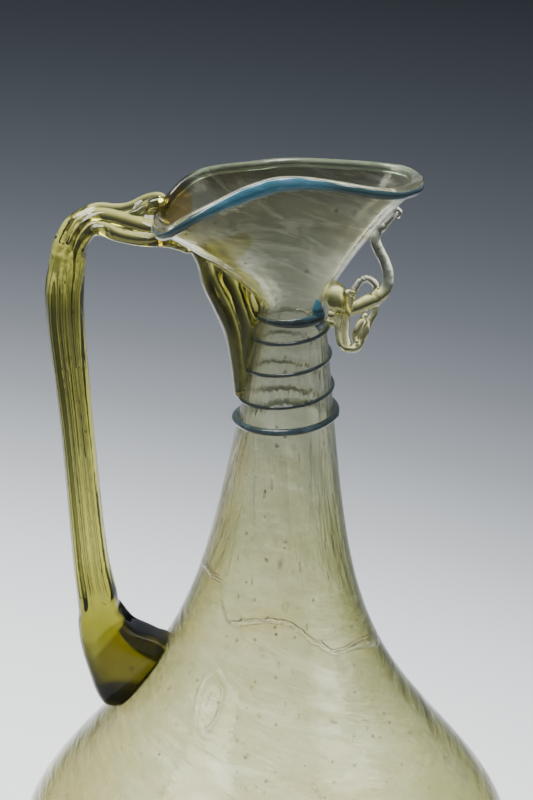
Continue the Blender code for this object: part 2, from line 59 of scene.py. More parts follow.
# Vessel: the round body, a little under the solid's size, so that its waves stay inside the solid's box
BODY_RADIUS = 61.95 * MM
BODY_MIDDLE = 65.0 * MM
BODY_BOTTOM = 2.0 * MM
LOWER_FULLNESS = 2.2
SHOULDER_FALL = 38.6 * MM
SHOULDER_POWER = 1.75
MIDDLE_EASE = 5.0 * MM

# Vessel: the foot
FOOT_RADIUS = 26.0 * MM
FOOT_WIDTH = 4.4 * MM
FOOT_ROUND = 1.2 * MM
FOOT_HEIGHT = 5.6 * MM
FLOOR_KICK = 5.0 * MM
FLOOR_WALL = 2.2 * MM

# Vessel: the leaning neck
RING_HEIGHT = 184.0 * MM
NECK_RADIUS = 11.4 * MM
NECK_TOP = 212.6 * MM
NECK_TOP_RADIUS = 7.5 * MM
NECK_LEAN = 0.056
LEAN_START = 94.0 * MM
LEAN_EASE = 8.0 * MM

# Vessel: the boat-shaped mouth, measured from the middle of the neck's top
MOUTH_BACK = 31.9 * MM
MOUTH_FRONT = 28.9 * MM
BACK_LOBE_WIDTH = 31.0 * MM
BACK_LOBE_PLACE = 22.5 * MM
WAIST_WIDTH = 14.0 * MM
FRONT_LOBE_WIDTH = 19.4 * MM
FRONT_LOBE_PLACE = 20.0 * MM
BACK_RISE = 20.8 * MM
LOBE_RISE = 27.0 * MM
WAIST_RISE = 32.6 * MM
FRONT_RISE = 30.8 * MM
TIP_RISE = 30.4 * MM
FUNNEL_FLARE = 1.3
LIP_START = 0.88
TIP_BEAD_REACH = 2.6 * MM
TIP_BEAD_SHARE = 0.35

# Waves in the blown wall: height, times round, turns for each metre of height in radians, and start
WAVES = ((1.0, 3.0, 38.0, 0.0), (0.6, 7.0, -95.0, 1.3), (0.35, 11.0, 210.0, 0.0))

# Thread on the neck
THREAD_TOP = 210.8 * MM
THREAD_END = 183.0 * MM
THREAD_TURNS = 4.85
RING_OVERLAP = 0.28
RING_RUN = 1.25
RING_ONSET = 0.07
BAND_SHARE = 1.9
BAND_RUN = 0.24

# Drop that the thread starts in
DROP_ANGLE = -42.0
DROP_LEAN = 8.0
DROP_HALF_SIZES = (1.3 * MM, 1.7 * MM, 4.1 * MM)
DROP_DOWN = 0.9 * MM
DROP_OUT = 0.5 * MM

# Handle
HANDLE_BASE = 117.0 * MM
HANDLE_REACH = 47.4 * MM
HANDLE_TOP = 233.4 * MM
PAD_THICKNESS = 20.0 * MM
PAD_WIDTH = 15.0 * MM
STRAP_CORE = (0.84, 0.90)
CORE_END_OUT = 21.9 * MM
CORE_END_DOWN = 7.4 * MM

# Pad: out from the vessel's wall, up and thickness as shares of its thickness, and width as a share of its
# own width
PAD_STATIONS = (
    (0.02, -0.12, 0.92, 0.80), (0.125, -0.03, 1.18, 0.90), (0.26, 0.12, 1.04, 0.94), (0.45, 0.39, 0.75, 0.92),
    (0.565, 0.71, 0.565, 0.84),
)
# Upright strap: shares of the handle's reach and rise, and of the strap's thickness and width
STRAP_STATIONS = (
    (0.871, 0.172, 1.2, 1.0), (0.901, 0.26, 1.07, 0.96), (0.93, 0.412, 1.0, 0.94), (0.96, 0.584, 1.0, 1.0),
    (0.996, 0.761, 1.11, 1.04), (1.0, 0.848, 1.15, 1.06),
)
# The tail's outer side. Millimetres: x and height
TAIL_OUTLINE = ((-14.6, 221.5), (-13.6, 217.3), (-10.9, 211.6), (-8.5, 205.0), (-7.4, 198.0), (-7.0, 192.5))

# Ribs of the strap, which part over the bend and spread to the mouth. Millimetres from the lip's back end:
# out, across, up, thickness and width
UPPER_RIB = (
    (-24.2, 0.0, -11.6, 3.4, 9.2), (-23.3, 0.0, -7.0, 3.3, 8.2), (-22.0, 0.2, -3.6, 3.2, 6.8),
    (-19.9, 0.6, -0.6, 3.1, 5.4), (-17.5, 1.2, 0.9, 3.0, 4.6), (-15.4, 2.0, 1.6, 2.9, 4.2),
    (-13.3, 3.0, 1.7, 2.8, 4.0), (-10.5, 4.2, 1.0, 2.8, 4.0), (-7.7, 5.5, 0.7, 2.8, 4.0),
    (-5.5, 7.0, 0.9, 3.0, 4.2), (-3.4, 8.5, 1.5, 3.1, 4.4), (-1.5, 10.0, 1.6, 3.2, 4.6),
    (0.2, 11.2, 1.2, 3.4, 5.0),
)
MIDDLE_RIB = (
    (-22.0, 0.0, -10.0, 3.2, 9.8), (-20.8, 0.0, -5.8, 3.2, 8.8), (-18.9, 0.0, -2.0, 3.4, 7.6),
    (-16.4, 0.4, -0.1, 3.7, 6.6), (-13.9, 0.8, 0.4, 4.0, 5.8), (-11.4, 1.0, 0.0, 4.2, 5.4),
    (-8.9, 1.0, -0.6, 4.1, 5.2), (-6.4, 0.8, -1.3, 4.0, 5.2), (-3.9, 0.5, -2.0, 4.0, 5.2),
    (-1.3, 0.2, -2.4, 4.0, 5.4), (1.0, 0.0, -2.7, 4.2, 5.6),
)
RIB_BRANCH = (
    (-9.4, 1.2, 0.0, 2.6, 3.2), (-7.5, 1.6, 0.1, 2.6, 3.0), (-5.4, 2.7, 0.5, 2.4, 3.0),
    (-3.6, 4.2, 1.2, 2.4, 3.0), (-1.9, 6.0, 1.6, 2.8, 3.4), (0.2, 7.0, 2.0, 3.2, 4.0),
)
LOWER_RIB = (
    (-18.9, -0.4, -11.4, 3.8, 9.8), (-18.4, -0.8, -7.1, 3.7, 8.8), (-17.1, -1.4, -3.8, 3.6, 7.2),
    (-14.9, -2.0, -1.5, 3.4, 5.6), (-12.3, -2.6, -1.6, 3.3, 4.8), (-10.2, -3.0, -2.5, 3.1, 4.4),
    (-7.7, -3.0, -3.3, 3.0, 4.2), (-4.5, -3.0, -3.9, 3.0, 4.2), (-1.6, -2.8, -4.2, 3.0, 4.6),
    (1.2, -2.4, -4.3, 3.1, 5.0), (4.1, -2.0, -4.8, 3.3, 5.4), (6.7, -1.0, -6.0, 3.5, 5.8),
)
RIB_WEBS = (
    ((-14.0, -0.6, -0.4, 2.6, 3.0), (-10.5, -1.2, -1.2, 2.2, 3.0), (-6.0, -1.4, -2.8, 1.8, 3.2),
     (-1.0, -1.4, -4.0, 2.0, 3.6), (3.0, -1.0, -5.0, 2.6, 4.4)),
    ((-15.0, 1.2, 1.0, 2.4, 3.0), (-11.0, 2.6, 0.6, 1.8, 2.6), (-7.6, 3.2, 0.2, 1.4, 2.4)),
    ((-7.4, 1.6, -0.4, 1.8, 3.0), (-4.4, 3.4, -0.3, 1.6, 4.6), (-2.0, 4.4, -0.2, 1.8, 6.4),
     (0.4, 4.6, -0.4, 2.2, 8.0)),
)

# Ribs of the tail down the neck. Millimetres: x, y, z, thickness and width at the drawn width of the tail
DRAWN_TAIL_WIDTH = 9.0 * MM
TAIL_RIBS = (
    ((-16.8, 0.0, 227.5, 3.2, 6.0), (-14.2, 0.0, 223.4, 4.4, 8.0), (-12.7, 0.0, 218.2, 5.0, 9.0),
     (-10.2, 0.2, 212.5, 5.0, 9.0), (-7.8, 0.3, 205.6, 4.4, 8.2), (-6.7, 0.3, 197.4, 3.6, 7.0),
     (-6.2, 0.3, 190.0, 2.8, 5.4)),
    ((-13.6, 1.0, 227.0, 4.0, 8.0), (-10.6, 1.0, 223.4, 4.6, 9.0), (-9.4, 1.0, 218.4, 4.6, 9.4),
     (-6.8, 1.0, 213.0, 4.4, 9.0), (-4.9, 1.0, 206.4, 3.8, 8.0), (-4.7, 0.8, 199.0, 3.0, 6.6),
     (-5.1, 0.6, 192.0, 1.6, 4.6)),
)

# Strands of the tendril. Millimetres: out from the neck's wall, across, up from the neck's top, and thickness
ROD_STRAND = (
    (17.0, -0.6, 21.9, 1.1), (17.5, -0.6, 22.9, 1.2), (16.7, -0.6, 23.7, 1.2), (15.9, -0.6, 23.0, 1.3),
    (15.6, -0.5, 21.9, 1.6), (14.5, -0.4, 20.5, 1.9), (13.1, -0.3, 19.0, 2.2), (12.0, -0.3, 17.4, 2.5),
    (11.7, -0.2, 15.8, 2.6), (12.6, -0.1, 13.4, 2.6), (13.9, 0.0, 10.7, 2.6), (14.7, 0.0, 8.4, 2.6),
    (14.9, 0.0, 6.1, 2.6), (14.6, 0.0, 4.1, 2.7), (13.7, 0.0, 2.5, 3.0), (12.0, 0.0, 1.2, 3.5),
    (10.0, 0.0, 0.2, 3.7), (8.0, 0.0, -0.9, 3.5), (6.2, 0.2, -1.9, 2.8), (4.4, 0.4, -2.6, 1.8),
)
LOOP_STRAND = (
    (12.1, 2.2, 2.0, 1.8), (12.1, 1.8, 3.8, 1.9), (11.1, 0.8, 5.4, 1.9), (9.8, -0.2, 6.3, 1.9),
    (8.4, -1.4, 6.0, 1.85), (7.1, -2.4, 4.5, 1.85), (6.0, -2.8, 2.2, 1.85), (5.4, -2.8, -0.6, 1.85),
    (5.0, -2.6, -3.4, 1.85), (4.9, -2.2, -6.5, 1.9), (5.2, -1.6, -9.2, 2.0), (6.1, -0.6, -11.2, 2.1),
    (7.6, 0.4, -11.4, 2.1), (8.6, 1.2, -10.1, 2.0), (9.6, 1.8, -8.0, 1.9), (10.6, 2.2, -5.7, 1.8),
    (11.7, 2.4, -3.6, 1.8), (12.1, 2.4, -1.4, 1.8),
)
OUTER_STRAND = (
    (6.4, -1.2, 3.2, 1.5), (5.1, -1.4, 3.0, 1.6), (4.2, -1.6, 0.9, 1.7), (3.6, -1.6, -1.8, 1.7),
    (3.2, -1.4, -4.9, 1.8), (3.3, -1.2, -7.7, 1.8), (3.9, -0.8, -10.0, 1.8), (5.2, -0.4, -11.4, 1.8),
)
INNER_STRAND = (
    (9.6, 0.4, -3.1, 1.3), (8.5, 0.2, -4.7, 1.3), (7.5, 0.0, -6.5, 1.2), (7.0, 0.0, -8.4, 1.2),
    (7.6, 0.0, -10.1, 1.3),
)
# Lumps where the tendril was pressed on the neck: out, across, up, and half sizes out, across and up
TENDRIL_LUMPS = (
    (2.7, 0.0, 1.4, 2.5, 2.3, 4.0), (1.5, 0.0, -4.9, 1.3, 1.4, 1.2), (1.7, -0.6, -2.6, 1.2, 1.2, 1.4),
    (8.9, 1.0, -7.0, 1.8, 0.7, 3.0), (13.1, -0.4, 19.2, 1.4, 1.3, 1.5),
)

# Looks of the blown glass. A row is an axis, where the look starts and where it is full in millimetres, and
# then its two values where they aren't 0 and 1. Levels are heights above a slanting line, in metres
NEAR_SIDE = ("y", 4.0, -4.0)
NECK_SPAN = (("z", 130.0, 155.0), ("z", 225.0, 215.0))
FUNNEL_SPAN = ("z", 212.0, 222.0)
HIGH_GLASS = ("z", 155.0, 175.0)
# Painted shade in the mouth's funnel: it grows upwards and is deepest towards the handle's side
MOUTH_SHADE_SPAN = (("z", 219.0, 231.0), ("x", 14.0, -4.0, 0.15, 0.6))
# Painted shade on the mouth's far wall
FAR_SIDE_SHADE = (("y", -2.0, 3.0), ("z", 220.0, 228.0))
LOW_BODY = (("z", 190.0, 150.0), ("z", 106.0, 122.0, 0.6, 1.0))
# Painted shade at the edges on the handle's and spout's sides: it starts at the first height and is full at
# the second, lower one
SIDE_SHADE_HEIGHTS = ("z", 180.0, 150.0)
LEFT_HEIGHTS = ("z", 222.0, 195.0)
SEAM_SPAN = (("z", 158.0, 166.0), ("z", 183.0, 180.0))
DASH_SPAN = (("z", 126.0, 142.0, 0.10, 0.60), ("z", 200.0, 176.0, 0.2, 1.0))
LOW_BUBBLES = ("z", 150.0, 135.0, 0.0, 0.55)
# Painted shade on the far side of the lip's back end, where the thick rim is seen edge-on: its span, its
# levels above a slanting line, and that line's slope
LIP_SHADE_SPAN = (("y", -1.0, 1.0), ("x", -15.0, -19.0))
LIP_SHADE_LEVELS = (0.2466, 0.2480)
LIP_SLOPE = 0.66
AXIS_GUARD = 0.1 * MM
# Colour of the painted shade in the mouth's funnel
MOUTH_SHADE_TINT = (0.60, 0.605, 0.47)
# Colour multiplied in as painted shade on the mouth's far wall
FAR_SIDE_SHADE_TINT = (0.66, 0.65, 0.57)
LOW_TINT = (0.89, 0.895, 0.81)
# Colour multiplied in as painted shade at the edges on the handle's and spout's sides
SIDE_SHADE_TINT = (0.76, 0.765, 0.60)
HAIRLINE_TINT = (0.97, 0.96, 0.88)
# Colour of the painted shade, near black, at the lip's back end
LIP_SHADE_TINT = (0.09, 0.10, 0.045)
BUBBLE_TINT = (0.22, 0.20, 0.13)
VESSEL_SPECK_TINT = (0.10, 0.055, 0.02)
GLASS_IOR = 1.48

# Strain lines on the near side: x and height of the level one, height and x of the falling one. Millimetres
STRAIN_WANDER = 4.0 * MM
LEVEL_STRAIN = ((-10.4, 146.0), (-9.8, 139.9), (-7.9, 137.6), (0.8, 138.7), (6.3, 137.0), (12.1, 132.9),
                (17.2, 129.8), (21.6, 129.2), (27.1, 125.7), (33.0, 119.0))
FALLING_STRAIN = ((88.0, -10.0), (96.0, -17.5), (99.9, -24.5), (102.3, -31.0), (106.1, -33.9), (109.3, -34.3),
                  (114.0, -34.0))
# Upright seams in the neck: x and half width in millimetres
NECK_SEAMS = ((-2.35, 0.24), (10.7, 0.3), (13.0, 0.3))
# Marks in the blown glass: place, tilt and half sizes, and the tint of a stain
OVAL_BUBBLE = ((-0.0131, -0.0251, 0.1192), -0.30, (0.0028, 0.02, 0.0066))
RING_BUBBLE = ((0.0049, -0.0192, 0.1422), 0.0, (0.0008, 0.01, 0.0009))
NECK_BLOT = ((0.0037, -0.0168, 0.1521), 0.0, (0.0007, 0.01, 0.0011))
MOUTH_STAINS = (
    ((-0.0215, 0.008, 0.2335), 0.5, (0.0052, 0.012, 0.0052), (0.40, 0.28, 0.05)),
    ((-0.0108, -0.012, 0.2285), 0.5, (0.0105, 0.012, 0.0042), (0.60, 0.58, 0.28)),
)

# Looks of the trails
THICK_TRAIL = (("x", 18.5, 8.0), ("x", -19.5, -7.0))
# Painted shade at the back end of the far rim, where the thick rim is seen edge-on
BACK_END_SHADE = ("x", -15.0, -21.0)
DROP_TOP = (("z", 212.6, 214.0), ("x", 6.0, 10.0))
DROP_FOOT = (("z", 209.6, 208.4), ("z", 207.2, 207.9), ("x", 8.5, 10.0), ("y", -3.0, -4.5))
BAND_LINE = (("z", 211.3, 211.9), ("z", 213.0, 212.4))
RING_SPAN = ("z", 186.5, 184.5)
MILKY_TRAIL_TINT = (0.09, 0.20, 0.25)
RIM_TINT = (0.74, 0.80, 0.74)
RIM_STREAK_TINT = (0.38, 0.46, 0.42)
# Colour of the painted shade, near black, at the far rim's back end
BACK_END_SHADE_TINT = (0.07, 0.08, 0.035)
THREAD_TINT = (0.012, 0.018, 0.018)
DROP_FOOT_TINT = (0.09, 0.20, 0.27)
RING_TINT = (0.019, 0.032, 0.035)
MILKY_THREAD_TINT = (0.07, 0.125, 0.15)
TRAIL_IOR = 1.5

# Looks of the handle
STRAP_BEND = ("z", 219.0, 228.0)
STRAP_FOOT = ("z", 150.0, 134.0)
RIDGED_SPAN = (("z", 222.0, 212.0, 0.12, 1.0), ("z", 128.0, 138.0, 0.25, 1.0))
TAIL_SPAN = (("x", -19.5, -16.5), ("z", 228.0, 225.0))
# The pad's deeper mustard, partly painted shade, lies below a slanting line where the strap's light ends
PAD_SLOPE = 1.21
PAD_LEVELS = (0.1738, 0.1722)
PAD_TOP = ("z", 145.0, 140.0)
PAD_LOW = ("z", 121.0, 115.0)
# Painted shade, near black, in the pad's lower tip: levels above a slanting line, and heights
TIP_SHADE_LEVELS = (0.1605, 0.1580)
TIP_SHADE_SPAN = ("z", 113.5, 111.5)
# The pad's outer side as height and x, and the line of the painted shade along its tongue as x and height.
# Millimetres
PAD_OUTER_LINE = ((107.5, -39.9), (115.2, -42.3), (122.9, -44.1), (131.1, -45.55), (140.3, -46.0))
TONGUE_SHADE_LINE = ((-36.4, 132.6), (-33.4, 128.3), (-30.4, 125.6), (-27.4, 123.6), (-24.0, 121.6))
STRAP_TINT = (0.93, 0.91, 0.66)
STRAP_PATCH_TINT = (0.72, 0.66, 0.32)
STRAP_BEND_TINT = (0.62, 0.585, 0.25)
STRAP_STREAK_TINT = (0.62, 0.58, 0.34)
STRAP_FOOT_TINT = (0.61, 0.61, 0.44)
TAIL_TINT = (0.48, 0.45, 0.26)
# The pad's deeper mustard, partly painted shade
MUSTARD_AND_SHADE_TINT = (0.24, 0.205, 0.03)
# Colour of the near-black painted shade in the pad's tongue and lower tip
PAD_SHADE_TINT = (0.005, 0.0045, 0.001)
SPECK_TINT = (0.09, 0.06, 0.02)

# Looks of the tendril
COIL_SPAN = ("z", 218.0, 215.0)
ROD_TINT = (0.86, 0.86, 0.80)
COIL_TINT = (0.88, 0.84, 0.50)
TENDRIL_STREAK_TINT = (0.62, 0.58, 0.32)

# Floor, whose colour is a painted pool of light: the middle of its pale part, how far that part slants to the
# left behind the ewer, how far the fall in brightness reaches, and the share of brightness left at distances
# in metres
FLOOR_CENTRE = -0.08
FLOOR_SLANT = -0.45
FLOOR_REACH = 1.3
FLOOR_POOL_SHARES = (
    (0.15, 1.0), (0.20, 0.985), (0.277, 0.90), (0.36, 0.710), (0.443, 0.452), (0.526, 0.268),
    (0.609, 0.174), (0.691, 0.124), (0.774, 0.096), (0.857, 0.078), (0.94, 0.065), (1.023, 0.054),
    (1.106, 0.0455), (1.189, 0.039), (1.30, 0.029),
)
# Floor: from where to where its painted shade grows towards the camera, and how far it lies under the foot
FLOOR_SHADE_EDGE = (0.13, -0.03)
FLOOR_DROP = 0.2 * MM

# Soft lights: name, place, size, and whether glossy pieces mirror it. All face the middle of the ewer
SOFT_LIGHTS = (
    ("key_light", (-0.25, 0.10, 1.25), (0.8, 0.6), True),
    ("side_light", (-0.75, -0.55, 1.05), (0.7, 0.7), False),
    ("fill_light", (0.95, -0.5, 0.6), (0.6, 0.8), False),
)
EWER_MIDDLE = (0.0, 0.0, 0.15)
SKY_COLOUR = (0.20, 0.22, 0.26)
# Camera: its place, how far it looks down and how far it is turned to the left, in degrees
CAMERA_PLACE = (0.005, -0.74175, 0.48369)
CAMERA_DOWN = 21.7426
CAMERA_TURN = 0.3615

# Steps of the meshes: round the vessel and the mouth's trail, and along and round the handle's parts
AROUND = 144
TRAIL_AROUND = 288
STRAP_STEPS = 140
STRAP_SIDES = 56
TAIL_STEPS = 60
TAIL_SIDES = 40
RIB_SIDES = 28
HANDLE_VOXEL = 0.33 * MM
TENDRIL_VOXEL = 0.19 * MM


class EwerSizes(PropertyGroup):
    """Sizes of the ewer that a user would change."""
    wall: FloatProperty(name="Wall", description="Thickness of the blown wall", default=1.5 * MM,
                        min=0.8 * MM, max=2.5 * MM, subtype="DISTANCE", unit="LENGTH")
    lip: FloatProperty(name="Lip", description="Thickness of the fire-rounded lip", default=2.3 * MM,
                       min=1.5 * MM, max=3.5 * MM, subtype="DISTANCE", unit="LENGTH")
    waviness: FloatProperty(name="Waviness", description="Height of the waves that blowing left in the wall",
                            default=0.12 * MM, min=0.0, max=0.5 * MM, subtype="DISTANCE", unit="LENGTH")
    trail_thickness: FloatProperty(name="Mouth trail", description="Least thickness of the mouth's trail",
                                   default=1.2 * MM, min=0.6 * MM, max=2.5 * MM, subtype="DISTANCE",
                                   unit="LENGTH")
    trail_height: FloatProperty(name="Mouth trail height", description="Least height of the mouth's trail",
                                default=2.2 * MM, min=1.0 * MM, max=4.0 * MM, subtype="DISTANCE",
                                unit="LENGTH")
    trail_swell: FloatProperty(name="Mouth trail swell", description="Extra height at the mouth's waist",
                               default=1.5 * MM, min=0.0, max=3.0 * MM, subtype="DISTANCE", unit="LENGTH")
    thread: FloatProperty(name="Neck thread", description="Thickness of the thread wound round the neck",
                          default=0.95 * MM, min=0.5 * MM, max=2.0 * MM, subtype="DISTANCE", unit="LENGTH")
    ring: FloatProperty(name="Neck ring", description="Thickness of the ring that ends the thread",
                        default=1.7 * MM, min=1.0 * MM, max=3.0 * MM, subtype="DISTANCE", unit="LENGTH")
    strap_thickness: FloatProperty(name="Strap thickness", description="Thickness of the handle's strap",
                                   default=7.5 * MM, min=5.0 * MM, max=10.0 * MM, subtype="DISTANCE",
                                   unit="LENGTH")
    strap_width: FloatProperty(name="Strap width", description="Width of the handle's strap",
                               default=11.0 * MM, min=8.0 * MM, max=14.0 * MM, subtype="DISTANCE",
                               unit="LENGTH")
    tail_width: FloatProperty(name="Tail width", description="Width of the handle's tail on the neck",
                              default=9.0 * MM, min=6.0 * MM, max=12.0 * MM, subtype="DISTANCE", unit="LENGTH")
    tendril_fullness: FloatProperty(name="Tendril fullness", description="Share of their drawn thickness that "
                                    "the tendril's strands have", default=1.0, min=0.6, max=1.3)


class EwerColours(PropertyGroup):
    """Colours of the ewer that a user would change."""
    pale: FloatVectorProperty(name="Pale glass", description="Tint of the blown glass", subtype="COLOR",
                              size=3, min=0.0, max=1.0, default=(0.77, 0.775, 0.60))
    pale_high: FloatVectorProperty(name="Pale glass above", description="Tint of the glass from the neck up",
                                   subtype="COLOR", size=3, min=0.0, max=1.0, default=(0.82, 0.83, 0.69))
    wisp: FloatVectorProperty(name="Wisps", description="Pale wisps drawn out in the blown glass",
                              subtype="COLOR", size=3, min=0.0, max=1.0, default=(0.96, 0.955, 0.83))
    stain: FloatVectorProperty(name="Stain", description="Yellow-brown stain of the weathered patches",
                               subtype="COLOR", size=3, min=0.0, max=1.0, default=(0.68, 0.61, 0.36))
    turquoise: FloatVectorProperty(name="Turquoise", description="Opaque glass of the trail round the mouth",
                                   subtype="COLOR", size=3, min=0.0, max=1.0, default=(0.022, 0.085, 0.12))
    teal: FloatVectorProperty(name="Teal", description="Darker glass where the trails run thin",
                              subtype="COLOR", size=3, min=0.0, max=1.0, default=(0.015, 0.035, 0.038))
    olive: FloatVectorProperty(name="Olive", description="What the handle's thick glass lets through",
                               subtype="COLOR", size=3, min=0.0, max=1.0, default=(0.78, 0.78, 0.38))
    clear: FloatVectorProperty(name="Clear", description="What the tendril's glass lets through",
                               subtype="COLOR", size=3, min=0.0, max=1.0, default=(0.86, 0.85, 0.50))


class StageSettings(PropertyGroup):
    """The floor, the lights and the camera."""
    floor_size: FloatProperty(name="Floor", description="Side of the floor", default=12.0, min=2.0,
                              subtype="DISTANCE", unit="LENGTH")
    floor_pale: FloatVectorProperty(name="Pale floor", description="Floor near the ewer", subtype="COLOR",
                                    size=3, min=0.0, max=1.0, default=(0.93, 0.94, 0.935))
    # Painted shade on the camera's side of the floor
    floor_front_shade: FloatProperty(name="Floor in front", description="Share of brightness that the floor keeps "
                               "on the camera's side", default=0.30, min=0.0, max=1.0)
    floor_cool: FloatProperty(name="Coolness", description="How much bluer the dark part of the floor is",
                              default=0.045, min=0.0, max=0.3)
    key_power: FloatProperty(name="Key light", description="Power of the main soft light overhead, in watts",
                             default=23.5, min=0.0)
    side_power: FloatProperty(name="Side light", description="Power of the soft light from the left, in watts",
                              default=15.6, min=0.0)
    fill_power: FloatProperty(name="Fill light", description="Power of the soft light at the right, in watts",
                              default=7.8, min=0.0)
    sky: FloatProperty(name="Sky", description="Strength of the even light from all round", default=1.4,
                       min=0.0)
    lens: FloatProperty(name="Lens", description="Focal length in millimetres on a 36 mm sensor",
                        default=150.0, min=20.0)


def smooth_curve(points, per_span, closed=False):
    """Catmull-Rom curve through points (any number of columns), with per_span steps between neighbours."""
    points = np.asarray(points, float)
    count = len(points)
    spans = count if closed else count - 1
    result = []
    for span in range(spans):
        if closed:
            p0, p1, p2, p3 = (points[(span + step) % count] for step in (-1, 0, 1, 2))
        else:
            p1, p2 = points[span], points[span + 1]
            p0 = points[span - 1] if span > 0 else 2.0 * p1 - p2
            p3 = points[span + 2] if span + 2 < count else 2.0 * p2 - p1
        for step in range(per_span):
            t = step / per_span
            result.append(0.5 * (2.0 * p1 + (p2 - p0) * t + (2.0 * p0 - 5.0 * p1 + 4.0 * p2 - p3) * t ** 2
                                 + (3.0 * p1 - p0 - 3.0 * p2 + p3) * t ** 3))
    if not closed:
        result.append(points[-1])
    return np.array(result)


def even_steps(curve, count, closed=False):
    """The same curve with its points at equal distances."""
    if closed:
        curve = np.vstack([curve, curve[:1]])
    lengths = np.linalg.norm(np.diff(curve[:, :3], axis=0), axis=1)
    along = np.concatenate([[0.0], np.cumsum(lengths)])
    wanted = np.linspace(0.0, along[-1], count + 1)[:-1] if closed else np.linspace(0.0, along[-1], count)
    return np.stack([np.interp(wanted, along, curve[:, column]) for column in range(curve.shape[1])], axis=1)


def smooth_step(value, low, high):
    """0 below low, 1 above high, and a smooth rise between."""
    share = np.clip((value - low) / (high - low), 0.0, 1.0)
    return share * share * (3.0 - 2.0 * share)


def axis_x(height):
    """Place of the vessel's own axis, which leans above the shoulder."""
    return NECK_LEAN * LEAN_EASE * np.logaddexp(0.0, (height - LEAN_START) / LEAN_EASE)


def neck_taper(height):
    """Radius of the neck's cone at a height."""
    share = (height - RING_HEIGHT) / (NECK_TOP - RING_HEIGHT)
    return NECK_RADIUS + (NECK_TOP_RADIUS - NECK_RADIUS) * share


def outer_radius(height):
    """Radius of the vessel's outside below the mouth."""
    rise = np.asarray(height, float) - BODY_MIDDLE
    below = np.clip(-rise / (BODY_MIDDLE - BODY_BOTTOM), 0.0, 1.0)
    low = BODY_RADIUS * (1.0 - below ** LOWER_FULLNESS) ** (1.0 / LOWER_FULLNESS)
    eased = np.hypot(rise, MIDDLE_EASE) - MIDDLE_EASE
    bell = np.exp(-(eased / SHOULDER_FALL) ** SHOULDER_POWER)
    cone = neck_taper(height)
    return np.where(rise < 0.0, low, cone + (BODY_RADIUS - cone) * bell)


def back_wall(height):
    """Place of the vessel's outside on the handle's side, below the neck's top."""
    return axis_x(height) - float(outer_radius(height))


def front_wall(height):
    """Place of the vessel's outside on the spout's side, up to the lip."""
    if height <= NECK_TOP:
        return axis_x(height) + float(outer_radius(height))
    share = min((height - NECK_TOP) / TIP_RISE, 1.0)
    return axis_x(NECK_TOP) + NECK_TOP_RADIUS + (MOUTH_FRONT - NECK_TOP_RADIUS) * share ** FUNNEL_FLARE


def lip_curve(count):
    """Middle of the lip, from the spout's tip round by the far side, as count points."""
    centre = axis_x(NECK_TOP)
    corner_rise = BACK_RISE + 0.2 * (LOBE_RISE - BACK_RISE)
    side = [
        (-MOUTH_BACK, 0.0, BACK_RISE),
        (-MOUTH_BACK + 0.08 * BACK_LOBE_WIDTH, 0.39 * BACK_LOBE_WIDTH, corner_rise),
        (-BACK_LOBE_PLACE, 0.5 * BACK_LOBE_WIDTH, LOBE_RISE),
        (-0.42 * BACK_LOBE_PLACE, 0.4 * WAIST_WIDTH + 0.1 * BACK_LOBE_WIDTH, 0.96 * WAIST_RISE),
        (0.04 * FRONT_LOBE_PLACE, 0.5 * WAIST_WIDTH, WAIST_RISE),
        (FRONT_LOBE_PLACE, 0.5 * FRONT_LOBE_WIDTH, FRONT_RISE),
        (0.92 * MOUTH_FRONT, 0.34 * FRONT_LOBE_WIDTH, 0.5 * (FRONT_RISE + TIP_RISE)),
        (MOUTH_FRONT, 0.0, TIP_RISE),
    ]
    far = [(centre + x, y, NECK_TOP + z) for x, y, z in reversed(side)]
    near = [(centre + x, -y, NECK_TOP + z) for x, y, z in side[1:-1]]
    return even_steps(smooth_curve(far + near, 24, closed=True), count, closed=True)


def middle_surface(count, wall, waviness=0.0):
    """Rings of the middle of the wall from the foot up to the lip, and each ring's share of the funnel."""
    angles = np.linspace(0.0, 2.0 * math.pi, count, endpoint=False)
    low = BODY_MIDDLE - (BODY_MIDDLE - BODY_BOTTOM) * np.cos(np.radians(np.linspace(24.0, 90.0, 26)))
    shoulder = BODY_MIDDLE + (RING_HEIGHT - BODY_MIDDLE) * np.linspace(0.0, 1.0, 64)[1:] ** 1.15
    heights = np.concatenate([low, shoulder, np.linspace(RING_HEIGHT, NECK_TOP, 16)[1:]])
    rings = []
    for height in heights:
        wave = sum(size * np.sin(times * angles + climb * height + start)
                   for size, times, climb, start in WAVES)
        share = min(outer_radius(height) / BODY_RADIUS, 1.0)
        radius = outer_radius(height) - 0.5 * wall + waviness * wave * share
        rings.append(np.stack([radius * np.cos(angles) + axis_x(height), radius * np.sin(angles),
                               np.full(count, height)], axis=1))
    shares = [0.0] * len(rings)
    neck = rings[-1]
    lip = lip_curve(count)
    for share in np.linspace(0.0, 1.0, 34)[1:]:
        ring = neck + (lip - neck) * share
        ring[:, :2] = neck[:, :2] + (lip[:, :2] - neck[:, :2]) * share ** FUNNEL_FLARE
        rings.append(ring)
        shares.append(share)
    return np.array(rings), np.array(shares)


def surface_frame(rings):
    """Outward normals and upward directions of a grid of rings."""
    up = np.gradient(rings, axis=0)
    around = np.roll(rings, -1, axis=1) - np.roll(rings, 1, axis=1)
    normal = np.cross(around, up)
    normal /= np.linalg.norm(normal, axis=2, keepdims=True)
    up /= np.linalg.norm(up, axis=2, keepdims=True)
    return normal, up


def round_ring(radius, height, count):
    """A level ring on the body's axis."""
    angles = np.linspace(0.0, 2.0 * math.pi, count, endpoint=False)
    return np.stack([radius * np.cos(angles), radius * np.sin(angles), np.full(count, height)], axis=1)


def underside_height(radius):
    """Height of the pushed-in underside."""
    return FLOOR_KICK * (1.0 - (radius / (FOOT_RADIUS - FOOT_ROUND - FOOT_WIDTH)) ** 2)


